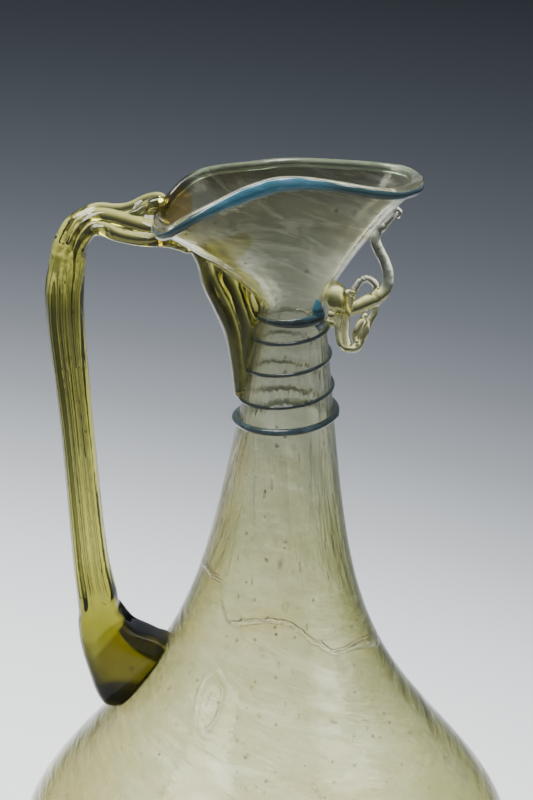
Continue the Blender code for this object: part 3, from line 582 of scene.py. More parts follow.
def foot_rings(count):
    """Outside of the foot, from the middle of the underside out and up to the body."""
    inner = FOOT_RADIUS - FOOT_ROUND - FOOT_WIDTH
    outline = [(inner * share, underside_height(inner * share)) for share in np.linspace(0.0, 0.97, 9)]
    outline += [(inner, 0.0), (inner + 0.5 * FOOT_WIDTH, 0.0), (FOOT_RADIUS - FOOT_ROUND, 0.0)]
    outline += [(FOOT_RADIUS - FOOT_ROUND * (1.0 - math.sin(turn)), FOOT_ROUND * (1.0 - math.cos(turn)))
                for turn in np.radians((25.0, 50.0, 75.0, 90.0))]
    neck = float(outer_radius(FOOT_HEIGHT))
    rise = FOOT_HEIGHT - FOOT_ROUND
    outline += [(FOOT_RADIUS - (FOOT_RADIUS - neck) * share ** 2, FOOT_ROUND + rise * share)
                for share in (0.35, 0.65, 0.85, 1.0)]
    return [round_ring(radius, height, count) for radius, height in outline]


def floor_rings(count, wall):
    """Inside of the floor, from the body's wall in to the middle."""
    edge = float(outer_radius(FOOT_HEIGHT)) - 2.0 * wall
    outline = [(edge, FLOOR_WALL + 0.5 * FOOT_HEIGHT)]
    outline += [(edge * share, underside_height(edge * share) + FLOOR_WALL)
                for share in np.linspace(0.85, 0.0, 7)]
    return [round_ring(radius, height, count) for radius, height in outline]


def wrap_grid(bm, rings):
    """Add a closed skin over rings of points: a grid wrapped round, its seam and end poles merged."""
    rings = np.asarray(rings)
    rows, columns = rings.shape[:2]
    made = bmesh.ops.create_grid(bm, x_segments=rows - 1, y_segments=columns, size=1.0)["verts"]
    for vert in made:
        row = round(0.5 * (vert.co.x + 1.0) * (rows - 1))
        column = round(0.5 * (vert.co.y + 1.0) * columns) % columns
        vert.co = rings[row, column]
    bmesh.ops.remove_doubles(bm, verts=made, dist=1e-7)


def carried_sides(tangent):
    """Sideways directions along a path, carried from point to point without twisting."""
    side = np.cross(tangent[0], (0.3, 0.9, 0.1))
    sides = []
    for direction in tangent:
        side = side - direction * np.dot(side, direction)
        side = side / np.linalg.norm(side)
        sides.append(side)
    return np.array(sides)


def tube_rings(path, thickness, width, side_hint, sides=16, closed=False, shape=None, round_ends=True):
    """Rings of a tube along a path. Thickness lies across side_hint and width along it, both as full sizes."""
    path = np.asarray(path, float)
    count = len(path)
    tangent = np.roll(path, -1, axis=0) - np.roll(path, 1, axis=0) if closed else np.gradient(path, axis=0)
    tangent /= np.linalg.norm(tangent, axis=1, keepdims=True)
    if side_hint is None:
        side = carried_sides(tangent)
    else:
        hint = np.broadcast_to(np.asarray(side_hint, float), path.shape)
        side = hint - tangent * np.sum(hint * tangent, axis=1, keepdims=True)
    side /= np.linalg.norm(side, axis=1, keepdims=True)
    across = np.cross(side, tangent)
    thickness = np.broadcast_to(np.asarray(thickness, float), (count,))
    width = np.broadcast_to(np.asarray(width, float), (count,))
    turn = 2.0 * math.pi * (np.arange(sides) + 0.5) / sides
    swell = shape(turn) if shape else np.ones(sides)
    section = 0.5 * swell[None, :, None] * (
        thickness[:, None, None] * np.cos(turn)[None, :, None] * across[:, None, :]
        + width[:, None, None] * np.sin(turn)[None, :, None] * side[:, None, :])
    rings = list(path[:, None, :] + section)
    if closed:
        return rings + rings[:1]
    start, end = [], []
    if round_ends:
        for angle in np.radians((90.0, 65.0, 40.0, 18.0)):
            reach = 0.5 * min(thickness[0], width[0])
            start.append(path[0] - reach * math.sin(angle) * tangent[0] + section[0] * math.cos(angle))
            reach = 0.5 * min(thickness[-1], width[-1])
            end.insert(0, path[-1] + reach * math.sin(angle) * tangent[-1] + section[-1] * math.cos(angle))
    else:
        start = [np.tile(path[0], (sides, 1))]
        end = [np.tile(path[-1], (sides, 1))]
    return start + rings + end


def new_piece(name, bm, node, material):
    """Turn a finished bmesh into a piece that rides on the ewer and stands for its CAD node."""
    bmesh.ops.recalc_face_normals(bm, faces=bm.faces)
    old = bpy.data.objects.get(name)
    if old is not None:
        bpy.data.objects.remove(old, do_unlink=True)
    mesh = bpy.data.meshes.new(name)
    bm.to_mesh(mesh)
    bm.free()
    mesh.shade_smooth()
    piece = bpy.data.objects.new(name, mesh)
    bpy.context.scene.collection.objects.link(piece)
    mesh.materials.append(material)
    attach(piece, "root")
    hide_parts(node)
    return piece


def melt(bm, voxel, passes):
    """Fuse overlapping solids into one skin, as hot glass runs together, and smooth it."""
    mesh = bpy.data.meshes.new("melting")
    bmesh.ops.recalc_face_normals(bm, faces=bm.faces)
    bm.to_mesh(mesh)
    bm.free()
    lump = bpy.data.objects.new("melting", mesh)
    bpy.context.scene.collection.objects.link(lump)
    remesh = lump.modifiers.new("fuse", "REMESH")
    remesh.mode = "VOXEL"
    remesh.voxel_size = voxel
    fused = bpy.data.meshes.new_from_object(lump.evaluated_get(bpy.context.evaluated_depsgraph_get()))
    result = bmesh.new()
    result.from_mesh(fused)
    for _ in range(passes):
        bmesh.ops.smooth_vert(result, verts=result.verts, factor=0.5, use_axis_x=True, use_axis_y=True,
                              use_axis_z=True)
    bpy.data.objects.remove(lump, do_unlink=True)
    bpy.data.meshes.remove(mesh)
    bpy.data.meshes.remove(fused)
    return result


def node_group(name, inputs, outputs, fill):
    """A shader node group, filled once. Inputs are names with their defaults, None for a vector."""
    group = bpy.data.node_groups.get(name)
    if group is None:
        group = bpy.data.node_groups.new(name, "ShaderNodeTree")
        for label, default in inputs.items():
            kind = "NodeSocketVector" if default is None else "NodeSocketFloat"
            socket = group.interface.new_socket(name=label, in_out="INPUT", socket_type=kind)
            if default is not None:
                socket.default_value = default
        for label in outputs:
            group.interface.new_socket(name=label, in_out="OUTPUT", socket_type="NodeSocketFloat")
        made = Nodes(group)
        fill(made, made.add("NodeGroupInput").outputs, made.add("NodeGroupOutput").inputs)
    return group


class Nodes:
    """Short calls for adding nodes to one tree and linking them."""

    def __init__(self, tree):
        self.tree = tree
        self.axes = {}

    def add(self, kind, **settings):
        node = self.tree.nodes.new(kind)
        for label, value in settings.items():
            setattr(node, label, value)
        return node

    def link(self, source, target):
        self.tree.links.new(source, target)

    def feed(self, node, name, value):
        """Give an input a value, or link an output socket to it."""
        socket = node.inputs[name]
        if isinstance(value, bpy.types.NodeSocket):
            self.link(value, socket)
        else:
            socket.default_value = value

    def feed_all(self, kind, values, **settings):
        """A new node with its inputs fed in order, or by name. Says its outputs."""
        node = self.add(kind, **settings)
        for name, value in (values.items() if isinstance(values, dict) else enumerate(values)):
            self.feed(node, name, value)
        return node.outputs

    def place(self):
        """The piece's own coordinates: as one vector, and each axis by itself."""
        vector = self.add("ShaderNodeTexCoord").outputs["Object"]
        self.axes = dict(zip("xyz", self.feed_all("ShaderNodeSeparateXYZ", (vector,))))
        return vector, *self.axes.values()

    def maths(self, operation, first, second=0.0, clamp=False):
        return self.feed_all("ShaderNodeMath", (first, second), operation=operation, use_clamp=clamp)[0]

    def chain(self, operation, values, clamp=False):
        """One operation over any number of values in turn."""
        result = values[0]
        for value in values[1:]:
            result = self.maths(operation, result, value, clamp)
        return result

    def product(self, *values):
        return self.chain("MULTIPLY", values)

    def total(self, *values, clamp=False):
        return self.chain("ADD", values, clamp)

    def largest(self, *values):
        return self.chain("MAXIMUM", values)

    def distance(self, first, second):
        return self.maths("ABSOLUTE", self.maths("SUBTRACT", first, second))

    def ranged(self, value, low, high, to_low=0.0, to_high=1.0):
        """A smooth rise from one value to another while the input goes from low to high."""
        return self.feed_all("ShaderNodeMapRange", {"Value": value, "From Min": low, "From Max": high,
                                                    "To Min": to_low, "To Max": to_high},
                             interpolation_type="SMOOTHSTEP")["Result"]

    def zone(self, *rows):
        """Product of masks. A row is an axis, where its mask starts and is full, and its two values."""
        return self.product(*(self.ranged(self.axes[axis], start * MM, full * MM, *values)
                              for axis, start, full, *values in rows))

    def drawn_line(self, along, across, points):
        """Distance of a place from a drawn line. Points are millimetres along and across."""
        places, heights = zip(*points)
        reach, rise = places[-1] - places[0], max(heights) - min(heights)
        node = self.add("ShaderNodeFloatCurve")
        curve = node.mapping.curves[0]
        while len(curve.points) < len(points):
            curve.points.new(0.5, 0.5)
        for point, place, height in zip(curve.points, places, heights):
            point.location = ((place - places[0]) / reach, (height - min(heights)) / rise)
        node.mapping.update()
        share = self.maths("DIVIDE", self.maths("SUBTRACT", along, places[0] * MM), reach * MM, clamp=True)
        self.feed(node, "Value", share)
        return self.distance(across, self.total(self.product(node.outputs[0], rise * MM), min(heights) * MM))

    def mapped(self, vector, scale, tilt=0.0):
        """A vector turned about the front-to-back axis and then scaled."""
        return self.feed_all("ShaderNodeMapping", {"Vector": vector, "Rotation": (0.0, tilt, 0.0),
                                                   "Scale": tuple(1.0 / share for share in scale)},
                             vector_type="TEXTURE")["Vector"]

    def drawn_up(self, vector, share, tilt=0.0):
        """Coordinates for a pattern drawn out upright."""
        return self.mapped(vector, (1.0, 1.0, share), tilt)

    def drawn_round(self, vector, share, tilt=0.0):
        """Coordinates for a pattern drawn out level, round the piece."""
        return self.mapped(vector, (share, share, 1.0), tilt)

    def noise(self, vector, scale, detail=2.0, roughness=0.5, distortion=0.0):
        return self.feed_all("ShaderNodeTexNoise", {"Vector": vector, "Scale": scale, "Detail": detail,
                                                    "Roughness": roughness, "Distortion": distortion})["Fac"]

    def blend(self, factor, first, second, mode="MIX"):
        """Two colours mixed. Each is an output socket, or three values."""
        node = self.add("ShaderNodeMix", data_type="RGBA", blend_type=mode)
        self.feed(node, 0, factor)
        for name, colour in ((6, first), (7, second)):
            self.feed(node, name, colour if isinstance(colour, bpy.types.NodeSocket) else (*colour, 1.0))
        return node.outputs[2]

    def tint(self, colour, mask, tone, share):
        """A colour that turns to a tone as far as a share of the mask."""
        return self.blend(self.product(mask, share), colour, tone)

    def use(self, group, **values):
        return self.feed_all("ShaderNodeGroup", values, node_tree=group)

    def mark(self, vector, place, tilt, size):
        return self.use(mark_group(), Vector=vector, Place=place, Tilt=tilt, Size=size)

    def bumped(self, height, distance):
        """A bump from a height."""
        values = {"Height": height, "Distance": distance, "Strength": 1.0}
        return self.feed_all("ShaderNodeBump", values)["Normal"]

    def finish(self, surface, volume=None):
        output = self.add("ShaderNodeOutputMaterial")
        self.link(surface, output.inputs["Surface"])
        if volume is not None:
            self.link(volume, output.inputs["Volume"])


def streaks_group():
    """Fine drawn-out streaks and broad waves that blowing leaves in glass."""
    def fill(made, given, wanted):
        fine = made.noise(given["Vector"], given["Fine"], 3.0, 0.6)
        broad = made.noise(given["Vector"], given["Broad"], 2.0, 0.5, 0.4)
        made.link(made.total(made.product(fine, 0.25), broad), wanted["Height"])
        made.link(made.ranged(fine, 0.56, 0.74), wanted["Streak"])
    return node_group("drawn_streaks", {"Vector": None, "Fine": 600.0, "Broad": 60.0},
                      ("Height", "Streak"), fill)


def specks_group():
    """Round specks of unlike size, scattered sparsely."""
    def fill(made, given, wanted):
        cells = made.feed_all("ShaderNodeTexVoronoi", {"Vector": given["Vector"], "Scale": given["Scale"]},
                              feature="F1")
        pick = made.feed_all("ShaderNodeSeparateColor", {"Color": cells["Color"]})
        chosen = made.maths("LESS_THAN", pick["Red"], given["Share"])
        radius = made.product(given["Size"], made.total(pick["Green"], 0.25))
        far = made.maths("DIVIDE", cells["Distance"], radius)
        made.link(made.product(chosen, made.ranged(far, 1.0, 0.7)), wanted["Mask"])
        rim = made.product(made.ranged(far, 1.25, 1.0), made.ranged(far, 0.6, 0.95))
        made.link(made.product(chosen, rim), wanted["Ring"])
    return node_group("scattered_specks", {"Vector": None, "Scale": 300.0, "Share": 0.2, "Size": 0.2},
                      ("Mask", "Ring"), fill)


def patches_group():
    """Soft-edged weathered patches with a grainy border."""
    def fill(made, given, wanted):
        field = made.noise(given["Vector"], given["Scale"], 5.0, 0.62, 0.8)
        made.link(made.ranged(field, given["Level"], made.total(given["Level"], 0.16)), wanted["Mask"])
    return node_group("weathered_patches", {"Vector": None, "Scale": 25.0, "Level": 0.55}, ("Mask",), fill)


def mark_group():
    """One oval mark at a set place, such as a bubble: its inside and its edge."""
    def fill(made, given, wanted):
        shift = made.feed_all("ShaderNodeVectorMath", (given["Vector"], given["Place"]), operation="SUBTRACT")
        turned = made.feed_all("ShaderNodeVectorRotate", {"Vector": shift["Vector"], "Angle": given["Tilt"]},
                               rotation_type="Y_AXIS")
        share = made.feed_all("ShaderNodeVectorMath", (turned["Vector"], given["Size"]), operation="DIVIDE")
        far = made.feed_all("ShaderNodeVectorMath", (share["Vector"],), operation="LENGTH")["Value"]
        made.link(made.ranged(far, 1.0, 0.75), wanted["Inside"])
        made.link(made.product(made.ranged(far, 1.2, 1.02), made.ranged(far, 0.78, 0.96)), wanted["Edge"])
    return node_group("placed_mark", {"Vector": None, "Place": None, "Tilt": 0.0, "Size": None},
                      ("Inside", "Edge"), fill)


def new_material(name):
    """An empty node material."""
    material = bpy.data.materials.get(name) or bpy.data.materials.new(name)
    material.use_nodes = True
    material.node_tree.nodes.clear()
    return material, Nodes(material.node_tree)


def glass_shader(nodes, colour, roughness, normal, clear, absorbed, density, shadow):
    """See-through glass: plain transmission and absorption, and light passes on to what lies behind."""
    shader = nodes.feed_all("ShaderNodeBsdfPrincipled", {
        "Base Color": colour, "Roughness": roughness, "Metallic": 0.0, "Transmission Weight": clear,
        "IOR": GLASS_IOR, "Normal": normal})[0]
    passing = nodes.feed_all("ShaderNodeBsdfTransparent", {"Color": (*shadow, 1.0)})[0]
    ray = nodes.add("ShaderNodeLightPath").outputs["Is Shadow Ray"]
    depth = nodes.feed_all("ShaderNodeVolumeAbsorption", {"Color": (*absorbed, 1.0), "Density": density})[0]
    nodes.finish(nodes.feed_all("ShaderNodeMixShader", (ray, shader, passing))[0], depth)


def trailed_shader(nodes, colour, roughness, normal, coat):
    """Opaque glossy glass of a trail."""
    nodes.finish(nodes.feed_all("ShaderNodeBsdfPrincipled", {
        "Base Color": colour, "Roughness": roughness, "Metallic": 0.0, "IOR": TRAIL_IOR, "Coat Weight": coat,
        "Coat Roughness": 0.04, "Normal": normal})[0])


def paleness(nodes, place, neck, wisps, drawn):
    """How pale each place of the blown glass is: broad wisps, fine wisps and the neck's upright ones."""
    fine = nodes.noise(nodes.drawn_round(place, 0.2, 0.2), 560.0, 3.0, 0.6, 0.5)
    return nodes.total(
        nodes.product(nodes.ranged(wisps, 0.44, 0.68), nodes.ranged(neck, 1.0, 0.0, 0.35, 1.0)),
        nodes.product(nodes.ranged(fine, 0.50, 0.72), 0.45),
        nodes.product(neck, nodes.ranged(drawn, 0.5, 0.75), 0.35), clamp=True)


def leaning_side(nodes, x, y, z):
    """Place round the leaning neck, from -1 on the handle's side to 1 on the spout's side."""
    out = nodes.maths("SUBTRACT", x, nodes.product(nodes.maths("SUBTRACT", z, LEAN_START), NECK_LEAN))
    wide = nodes.maths("SQRT", nodes.total(nodes.product(out, out), nodes.product(y, y)))
    return nodes.maths("DIVIDE", out, nodes.total(wide, AXIS_GUARD))


def pale_tints(nodes, colours, pale, side):
    """The blown glass's tint: cooler above, pale in the wisps, with painted shade in the mouth, on the mouth's
    far wall and at the edges.
    """
    colour = nodes.blend(nodes.zone(HIGH_GLASS), colours.pale, colours.pale_high)
    # Painted shade in the mouth's funnel
    colour = nodes.blend(nodes.zone(*MOUTH_SHADE_SPAN), colour, MOUTH_SHADE_TINT)
    colour = nodes.blend(pale, colour, colours.wisp)
    # Painted shade at the edges on the handle's and spout's sides of the body
    side_shade = nodes.product(nodes.ranged(nodes.maths("ABSOLUTE", side), 0.60, 0.95), nodes.zone(SIDE_SHADE_HEIGHTS))
    # Multiplied in: painted shade on the mouth's far wall, darker and yellower glass low on the body, and the
    # painted shade at the edges
    for mask, tone in ((nodes.zone(*FAR_SIDE_SHADE), FAR_SIDE_SHADE_TINT), (nodes.zone(*LOW_BODY), LOW_TINT),
                       (side_shade, SIDE_SHADE_TINT)):
        colour = nodes.blend(mask, colour, tone, "MULTIPLY")
    return colour


def stains(nodes, place, side, wisps, drawn):
    """Yellow-brown stain: patches, streaks up the neck's left side, and a halo along each strain line.

    Also says where the bright hairline in the middle of the level strain line is.
    """
    x, _, z = nodes.axes.values()
    near = nodes.zone(NEAR_SIDE)
    patches = nodes.use(patches_group(), Vector=nodes.drawn_round(place, 0.7), Scale=34.0, Level=0.49)
    fine = nodes.use(patches_group(), Vector=nodes.drawn_round(place, 0.5, 0.4), Scale=120.0, Level=0.50)
    left = nodes.product(nodes.ranged(side, -0.55, -0.92), nodes.zone(LEFT_HEIGHTS),
                         nodes.ranged(drawn, 0.40, 0.58))
    parts = [nodes.product(patches["Mask"], 0.55), nodes.product(fine["Mask"], 0.30),
             nodes.product(left, 0.8)]
    ragged = nodes.product(nodes.maths("SUBTRACT", wisps, 0.5), STRAIN_WANDER)
    level = nodes.drawn_line(x, nodes.total(z, ragged), LEVEL_STRAIN)
    falling = nodes.drawn_line(z, nodes.total(x, ragged), FALLING_STRAIN)
    for line, gap, halo in ((level, 0.0, 3.2 * MM), (falling, 1.0 * MM, 2.2 * MM)):
        parts.append(nodes.product(near, nodes.ranged(nodes.distance(line, gap), halo, 0.3 * MM), 0.55))
    hairline = nodes.product(near, nodes.ranged(level, 0.45 * MM, 0.15 * MM))
    return nodes.total(*parts, clamp=True), hairline


def dark_marks(nodes, place, drawn, dashes, oval):
    """How dark each place is: short dashes on the neck, rings of bubbles below it, placed marks and seams."""
    x = nodes.axes["x"]
    bubbles = nodes.use(specks_group(), Vector=nodes.drawn_up(place, 0.12, -0.42), Scale=340.0, Share=0.16,
                        Size=0.20)
    lines = [nodes.ranged(nodes.distance(x, across * MM), width * MM, 0.3 * width * MM)
             for across, width in NECK_SEAMS]
    seams = nodes.product(nodes.zone(NEAR_SIDE, *SEAM_SPAN), nodes.largest(*lines),
                          nodes.ranged(drawn, 0.42, 0.55))
    return nodes.largest(
        nodes.product(dashes["Mask"], nodes.zone(*DASH_SPAN)),
        nodes.product(bubbles["Ring"], nodes.zone(LOW_BUBBLES)),
        nodes.product(oval["Edge"], 0.10),
        nodes.product(nodes.mark(place, *RING_BUBBLE)["Edge"], 0.6),
        nodes.product(nodes.mark(place, *NECK_BLOT)["Inside"], 0.5),
        nodes.product(seams, 0.5))


def pale_glass(colours):
    """The blown vessel: pale clear glass with wisps, strain lines, bubbles, specks and weathered patches, and
    painted shade in the mouth, at the lip's back end and at its edges.
    """
    material, nodes = new_material("pale_blown_glass")
    place, x, y, z = nodes.place()
    neck = nodes.zone(*NECK_SPAN)
    side = leaning_side(nodes, x, y, z)
    wisps = nodes.noise(nodes.drawn_round(place, 0.3, 0.30), 170.0, 6.0, 0.66, 1.2)
    drawn = nodes.noise(nodes.drawn_up(place, 0.10), 420.0, 4.0, 0.62, 0.3)
    dashes = nodes.use(specks_group(), Vector=nodes.drawn_up(place, 0.13), Scale=620.0, Share=0.13, Size=0.20)
    specks = nodes.use(specks_group(), Vector=place, Scale=430.0, Share=0.24, Size=0.20)
    blots = nodes.use(specks_group(), Vector=place, Scale=150.0, Share=0.035, Size=0.085)
    oval = nodes.mark(place, *OVAL_BUBBLE)

    pale = paleness(nodes, place, neck, wisps, drawn)
    colour = pale_tints(nodes, colours, pale, side)
    stain, hairline = stains(nodes, place, side, wisps, drawn)
    colour = nodes.tint(colour, stain, colours.stain, 0.75)
    colour = nodes.tint(colour, hairline, HAIRLINE_TINT, 0.6)
    # Painted shade, near black, on the far side of the lip's back end, where the thick rim is seen edge-on
    lip = nodes.ranged(nodes.maths("SUBTRACT", z, nodes.product(x, LIP_SLOPE)), *LIP_SHADE_LEVELS)
    colour = nodes.tint(colour, nodes.product(lip, nodes.zone(*LIP_SHADE_SPAN)), LIP_SHADE_TINT, 0.85)
    for *mark, tone in MOUTH_STAINS:
        colour = nodes.tint(colour, nodes.mark(place, *mark)["Inside"], tone, 0.85)
    colour = nodes.blend(dark_marks(nodes, place, drawn, dashes, oval), colour, BUBBLE_TINT)
    spot = nodes.largest(nodes.product(specks["Mask"], 0.75), blots["Mask"])
    colour = nodes.blend(spot, colour, VESSEL_SPECK_TINT)

    upright = nodes.use(streaks_group(), Vector=nodes.drawn_up(place, 0.07), Fine=900.0, Broad=150.0)
    level = nodes.use(streaks_group(), Vector=nodes.drawn_round(place, 0.2, 0.35), Fine=520.0, Broad=75.0)
    height = nodes.total(
        nodes.product(upright["Height"], neck),
        nodes.product(level["Height"], nodes.maths("SUBTRACT", 1.0, neck)),
        nodes.product(dashes["Mask"], 0.25),
        nodes.product(oval["Edge"], 0.2),
        nodes.product(hairline, 0.5))
    rough = nodes.total(pale, nodes.product(nodes.zone(FUNNEL_SPAN), 0.1))
    glass_shader(nodes, colour, nodes.ranged(rough, 0.0, 1.2, 0.05, 0.26), nodes.bumped(height, 0.6 * MM),
                 clear=0.975, absorbed=(0.80, 0.84, 0.66), density=14.0, shadow=(0.86, 0.87, 0.76))
    return material


def turquoise_glass(colours):
    """Opaque trailed glass: turquoise where it is thick, dark teal where it thins towards both its ends."""
    material, nodes = new_material("turquoise_trailed_glass")
    place = nodes.place()[0]
    flow = nodes.noise(nodes.drawn_round(place, 0.25), 900.0, 3.0, 0.6)
    milky = nodes.noise(nodes.mapped(place, (0.35, 0.35, 1.6)), 420.0, 3.0, 0.6, 0.4)
    thick = nodes.zone(*THICK_TRAIL)
    colour = nodes.blend(thick, colours.teal, colours.turquoise)
    milk = nodes.product(nodes.ranged(milky, 0.40, 0.70), nodes.ranged(thick, 0.0, 1.0, 0.05, 0.4))
    colour = nodes.blend(milk, colour, MILKY_TRAIL_TINT)
    trailed_shader(nodes, colour, nodes.ranged(flow, 0.3, 0.7, 0.10, 0.22),
                   nodes.bumped(flow, 0.15 * MM), coat=0.5)
    return material


def rim_glass():
    """The far half of the mouth's trail, which ran thin: clear grey-green glass, with painted shade, near
    black, at its back end.
    """
    material, nodes = new_material("grey_green_rim_glass")
    place = nodes.place()[0]
    drawn = nodes.use(streaks_group(), Vector=nodes.drawn_round(place, 0.25), Fine=900.0, Broad=200.0)
    colour = nodes.blend(nodes.product(drawn["Streak"], 0.5), RIM_TINT, RIM_STREAK_TINT)
    # Painted shade, near black, at the back end, where the thick rim is seen edge-on
    colour = nodes.blend(nodes.zone(BACK_END_SHADE), colour, BACK_END_SHADE_TINT)
    glass_shader(nodes, colour, nodes.ranged(drawn["Streak"], 0.0, 1.0, 0.03, 0.12),
                 nodes.bumped(drawn["Height"], 0.3 * MM), clear=0.97, absorbed=(0.30, 0.42, 0.36),
                 density=900.0, shadow=(0.60, 0.66, 0.62))
    return material


def thread_glass(colours):
    """The neck's thread: bright in the top of the drop, near black in the band, bluer in the ring."""
    material, nodes = new_material("teal_thread_glass")
    place = nodes.place()[0]
    flow = nodes.noise(nodes.drawn_round(place, 0.3), 1100.0, 3.0, 0.6)
    ring = nodes.zone(RING_SPAN)
    colour = nodes.blend(nodes.product(nodes.zone(*BAND_LINE), 0.4), THREAD_TINT, colours.turquoise)
    colour = nodes.blend(nodes.zone(*DROP_TOP), colour, colours.turquoise)
    colour = nodes.tint(colour, nodes.zone(*DROP_FOOT), DROP_FOOT_TINT, 0.6)
    colour = nodes.blend(ring, colour, RING_TINT)
    milk = nodes.product(nodes.ranged(flow, 0.45, 0.75), nodes.ranged(ring, 0.0, 1.0, 0.12, 0.4))
    colour = nodes.blend(milk, colour, MILKY_THREAD_TINT)
    trailed_shader(nodes, colour, nodes.ranged(flow, 0.3, 0.7, 0.08, 0.18),
                   nodes.bumped(flow, 0.1 * MM), coat=0.3)
    return material


def pad_tints(nodes, colour, patches):
    """The pad: the thick glass's deeper mustard, partly painted shade, below a slanting edge where the strap's
    light ends and lighter along the outer side; painted shade, near black, in its tongue and in its lower tip.
    """
    x, _, z = nodes.axes.values()
    slant = nodes.maths("SUBTRACT", z, nodes.product(x, PAD_SLOPE))
    pad = nodes.product(nodes.ranged(slant, *PAD_LEVELS), nodes.zone(PAD_TOP))
    colour = nodes.blend(nodes.zone(STRAP_FOOT), colour, STRAP_FOOT_TINT, "MULTIPLY")
    # The mustard and its painted shade thin out near the outer side, leaving a lighter strip where the edge
    # rounds
    off_outer_line = nodes.ranged(nodes.drawn_line(z, x, PAD_OUTER_LINE), 1.2 * MM, 3.6 * MM, 0.35, 1.0)
    inner = nodes.largest(off_outer_line, nodes.zone(PAD_LOW))
    mustard = nodes.product(pad, inner, nodes.ranged(patches["Mask"], 0.0, 1.0, 1.0, 0.9))
    colour = nodes.blend(mustard, colour, MUSTARD_AND_SHADE_TINT)
    # Painted shade, near black, along the tongue and in the lower tip
    tongue = nodes.product(pad, nodes.ranged(nodes.drawn_line(x, z, TONGUE_SHADE_LINE), 3.0 * MM, 1.8 * MM))
    tip = nodes.product(nodes.ranged(slant, *TIP_SHADE_LEVELS), nodes.zone(TIP_SHADE_SPAN))
    return nodes.blend(nodes.largest(tongue, tip), colour, PAD_SHADE_TINT)


def olive_glass(colours):
    """Thick yellow-green glass of the handle, streaked along the strap."""
    material, nodes = new_material("olive_strap_glass")
    place = nodes.place()[0]
    drawn = nodes.use(streaks_group(), Vector=nodes.drawn_up(place, 0.06), Fine=230.0, Broad=120.0)
    patches = nodes.use(patches_group(), Vector=nodes.drawn_up(place, 0.5), Scale=90.0, Level=0.50)
    specks = nodes.use(specks_group(), Vector=place, Scale=420.0, Share=0.14, Size=0.20)
    colour = nodes.blend(nodes.product(patches["Mask"], 0.4), STRAP_TINT, STRAP_PATCH_TINT)
    colour = nodes.tint(colour, nodes.zone(STRAP_BEND), STRAP_BEND_TINT, 0.85)
    colour = nodes.tint(colour, drawn["Streak"], STRAP_STREAK_TINT, 0.3)
    colour = nodes.tint(colour, nodes.zone(*TAIL_SPAN), TAIL_TINT, 0.8)
    colour = pad_tints(nodes, colour, patches)
    colour = nodes.tint(colour, specks["Mask"], SPECK_TINT, 0.8)
    height = nodes.product(drawn["Height"], nodes.zone(*RIDGED_SPAN))
    glass_shader(nodes, colour, nodes.ranged(drawn["Streak"], 0.0, 1.0, 0.02, 0.10),
                 nodes.bumped(height, 0.5 * MM), clear=0.985, absorbed=colours.olive, density=300.0,
                 shadow=(0.60, 0.58, 0.34))
    return material


def clear_glass(colours):
    """Clear, slightly yellow glass of the tendril."""
    material, nodes = new_material("clear_tendril_glass")
    place = nodes.place()[0]
    drawn = nodes.use(streaks_group(), Vector=nodes.drawn_up(place, 0.5), Fine=900.0, Broad=300.0)
    specks = nodes.use(specks_group(), Vector=place, Scale=600.0, Share=0.10, Size=0.2)
    colour = nodes.blend(nodes.zone(COIL_SPAN), ROD_TINT, COIL_TINT)
    colour = nodes.tint(colour, drawn["Streak"], TENDRIL_STREAK_TINT, 0.3)
    colour = nodes.tint(colour, specks["Mask"], SPECK_TINT, 0.7)
    glass_shader(nodes, colour, nodes.ranged(drawn["Streak"], 0.0, 1.0, 0.02, 0.10),
                 nodes.bumped(drawn["Height"], 0.5 * MM), clear=0.985, absorbed=colours.clear, density=260.0,
                 shadow=(0.80, 0.79, 0.58))
    return material


class EWER_OT_vessel(Operator):
    """Build the blown vessel, hollow from its boat-shaped mouth down to its foot"""
    bl_idname = "ewer.vessel"
    bl_label = "Vessel"

    def execute(self, context):
        sizes = context.scene.ewer_sizes
        middle, shares = middle_surface(AROUND, sizes.wall, sizes.waviness)
        normal, up = surface_frame(middle)
        rim = smooth_step(shares, LIP_START, 1.0)
        half = 0.5 * (sizes.wall + (0.92 * sizes.lip - sizes.wall) * rim)[:, None, None]
        tip = lip_curve(AROUND)[0]
        bead = np.exp(-(np.linalg.norm(middle[-1] - tip, axis=1) / TIP_BEAD_REACH) ** 2)
        reach = (0.5 * sizes.lip * (1.0 + TIP_BEAD_SHARE * bead))[:, None]
        rings = foot_rings(AROUND)
        rings += list(middle + half * normal)[:-1]
        for turn in np.radians(np.linspace(-25.0, 205.0, 14)):
            rings.append(middle[-1] + reach * (math.cos(turn) * normal[-1] + math.sin(turn) * up[-1]))
        rings += list(middle - half * normal)[-2::-1]
        rings += floor_rings(AROUND, sizes.wall)
        bm = bmesh.new()
        wrap_grid(bm, rings)
        new_piece("ewer_vessel", bm, "vessel", pale_glass(context.scene.ewer_colours))
        return {"FINISHED"}


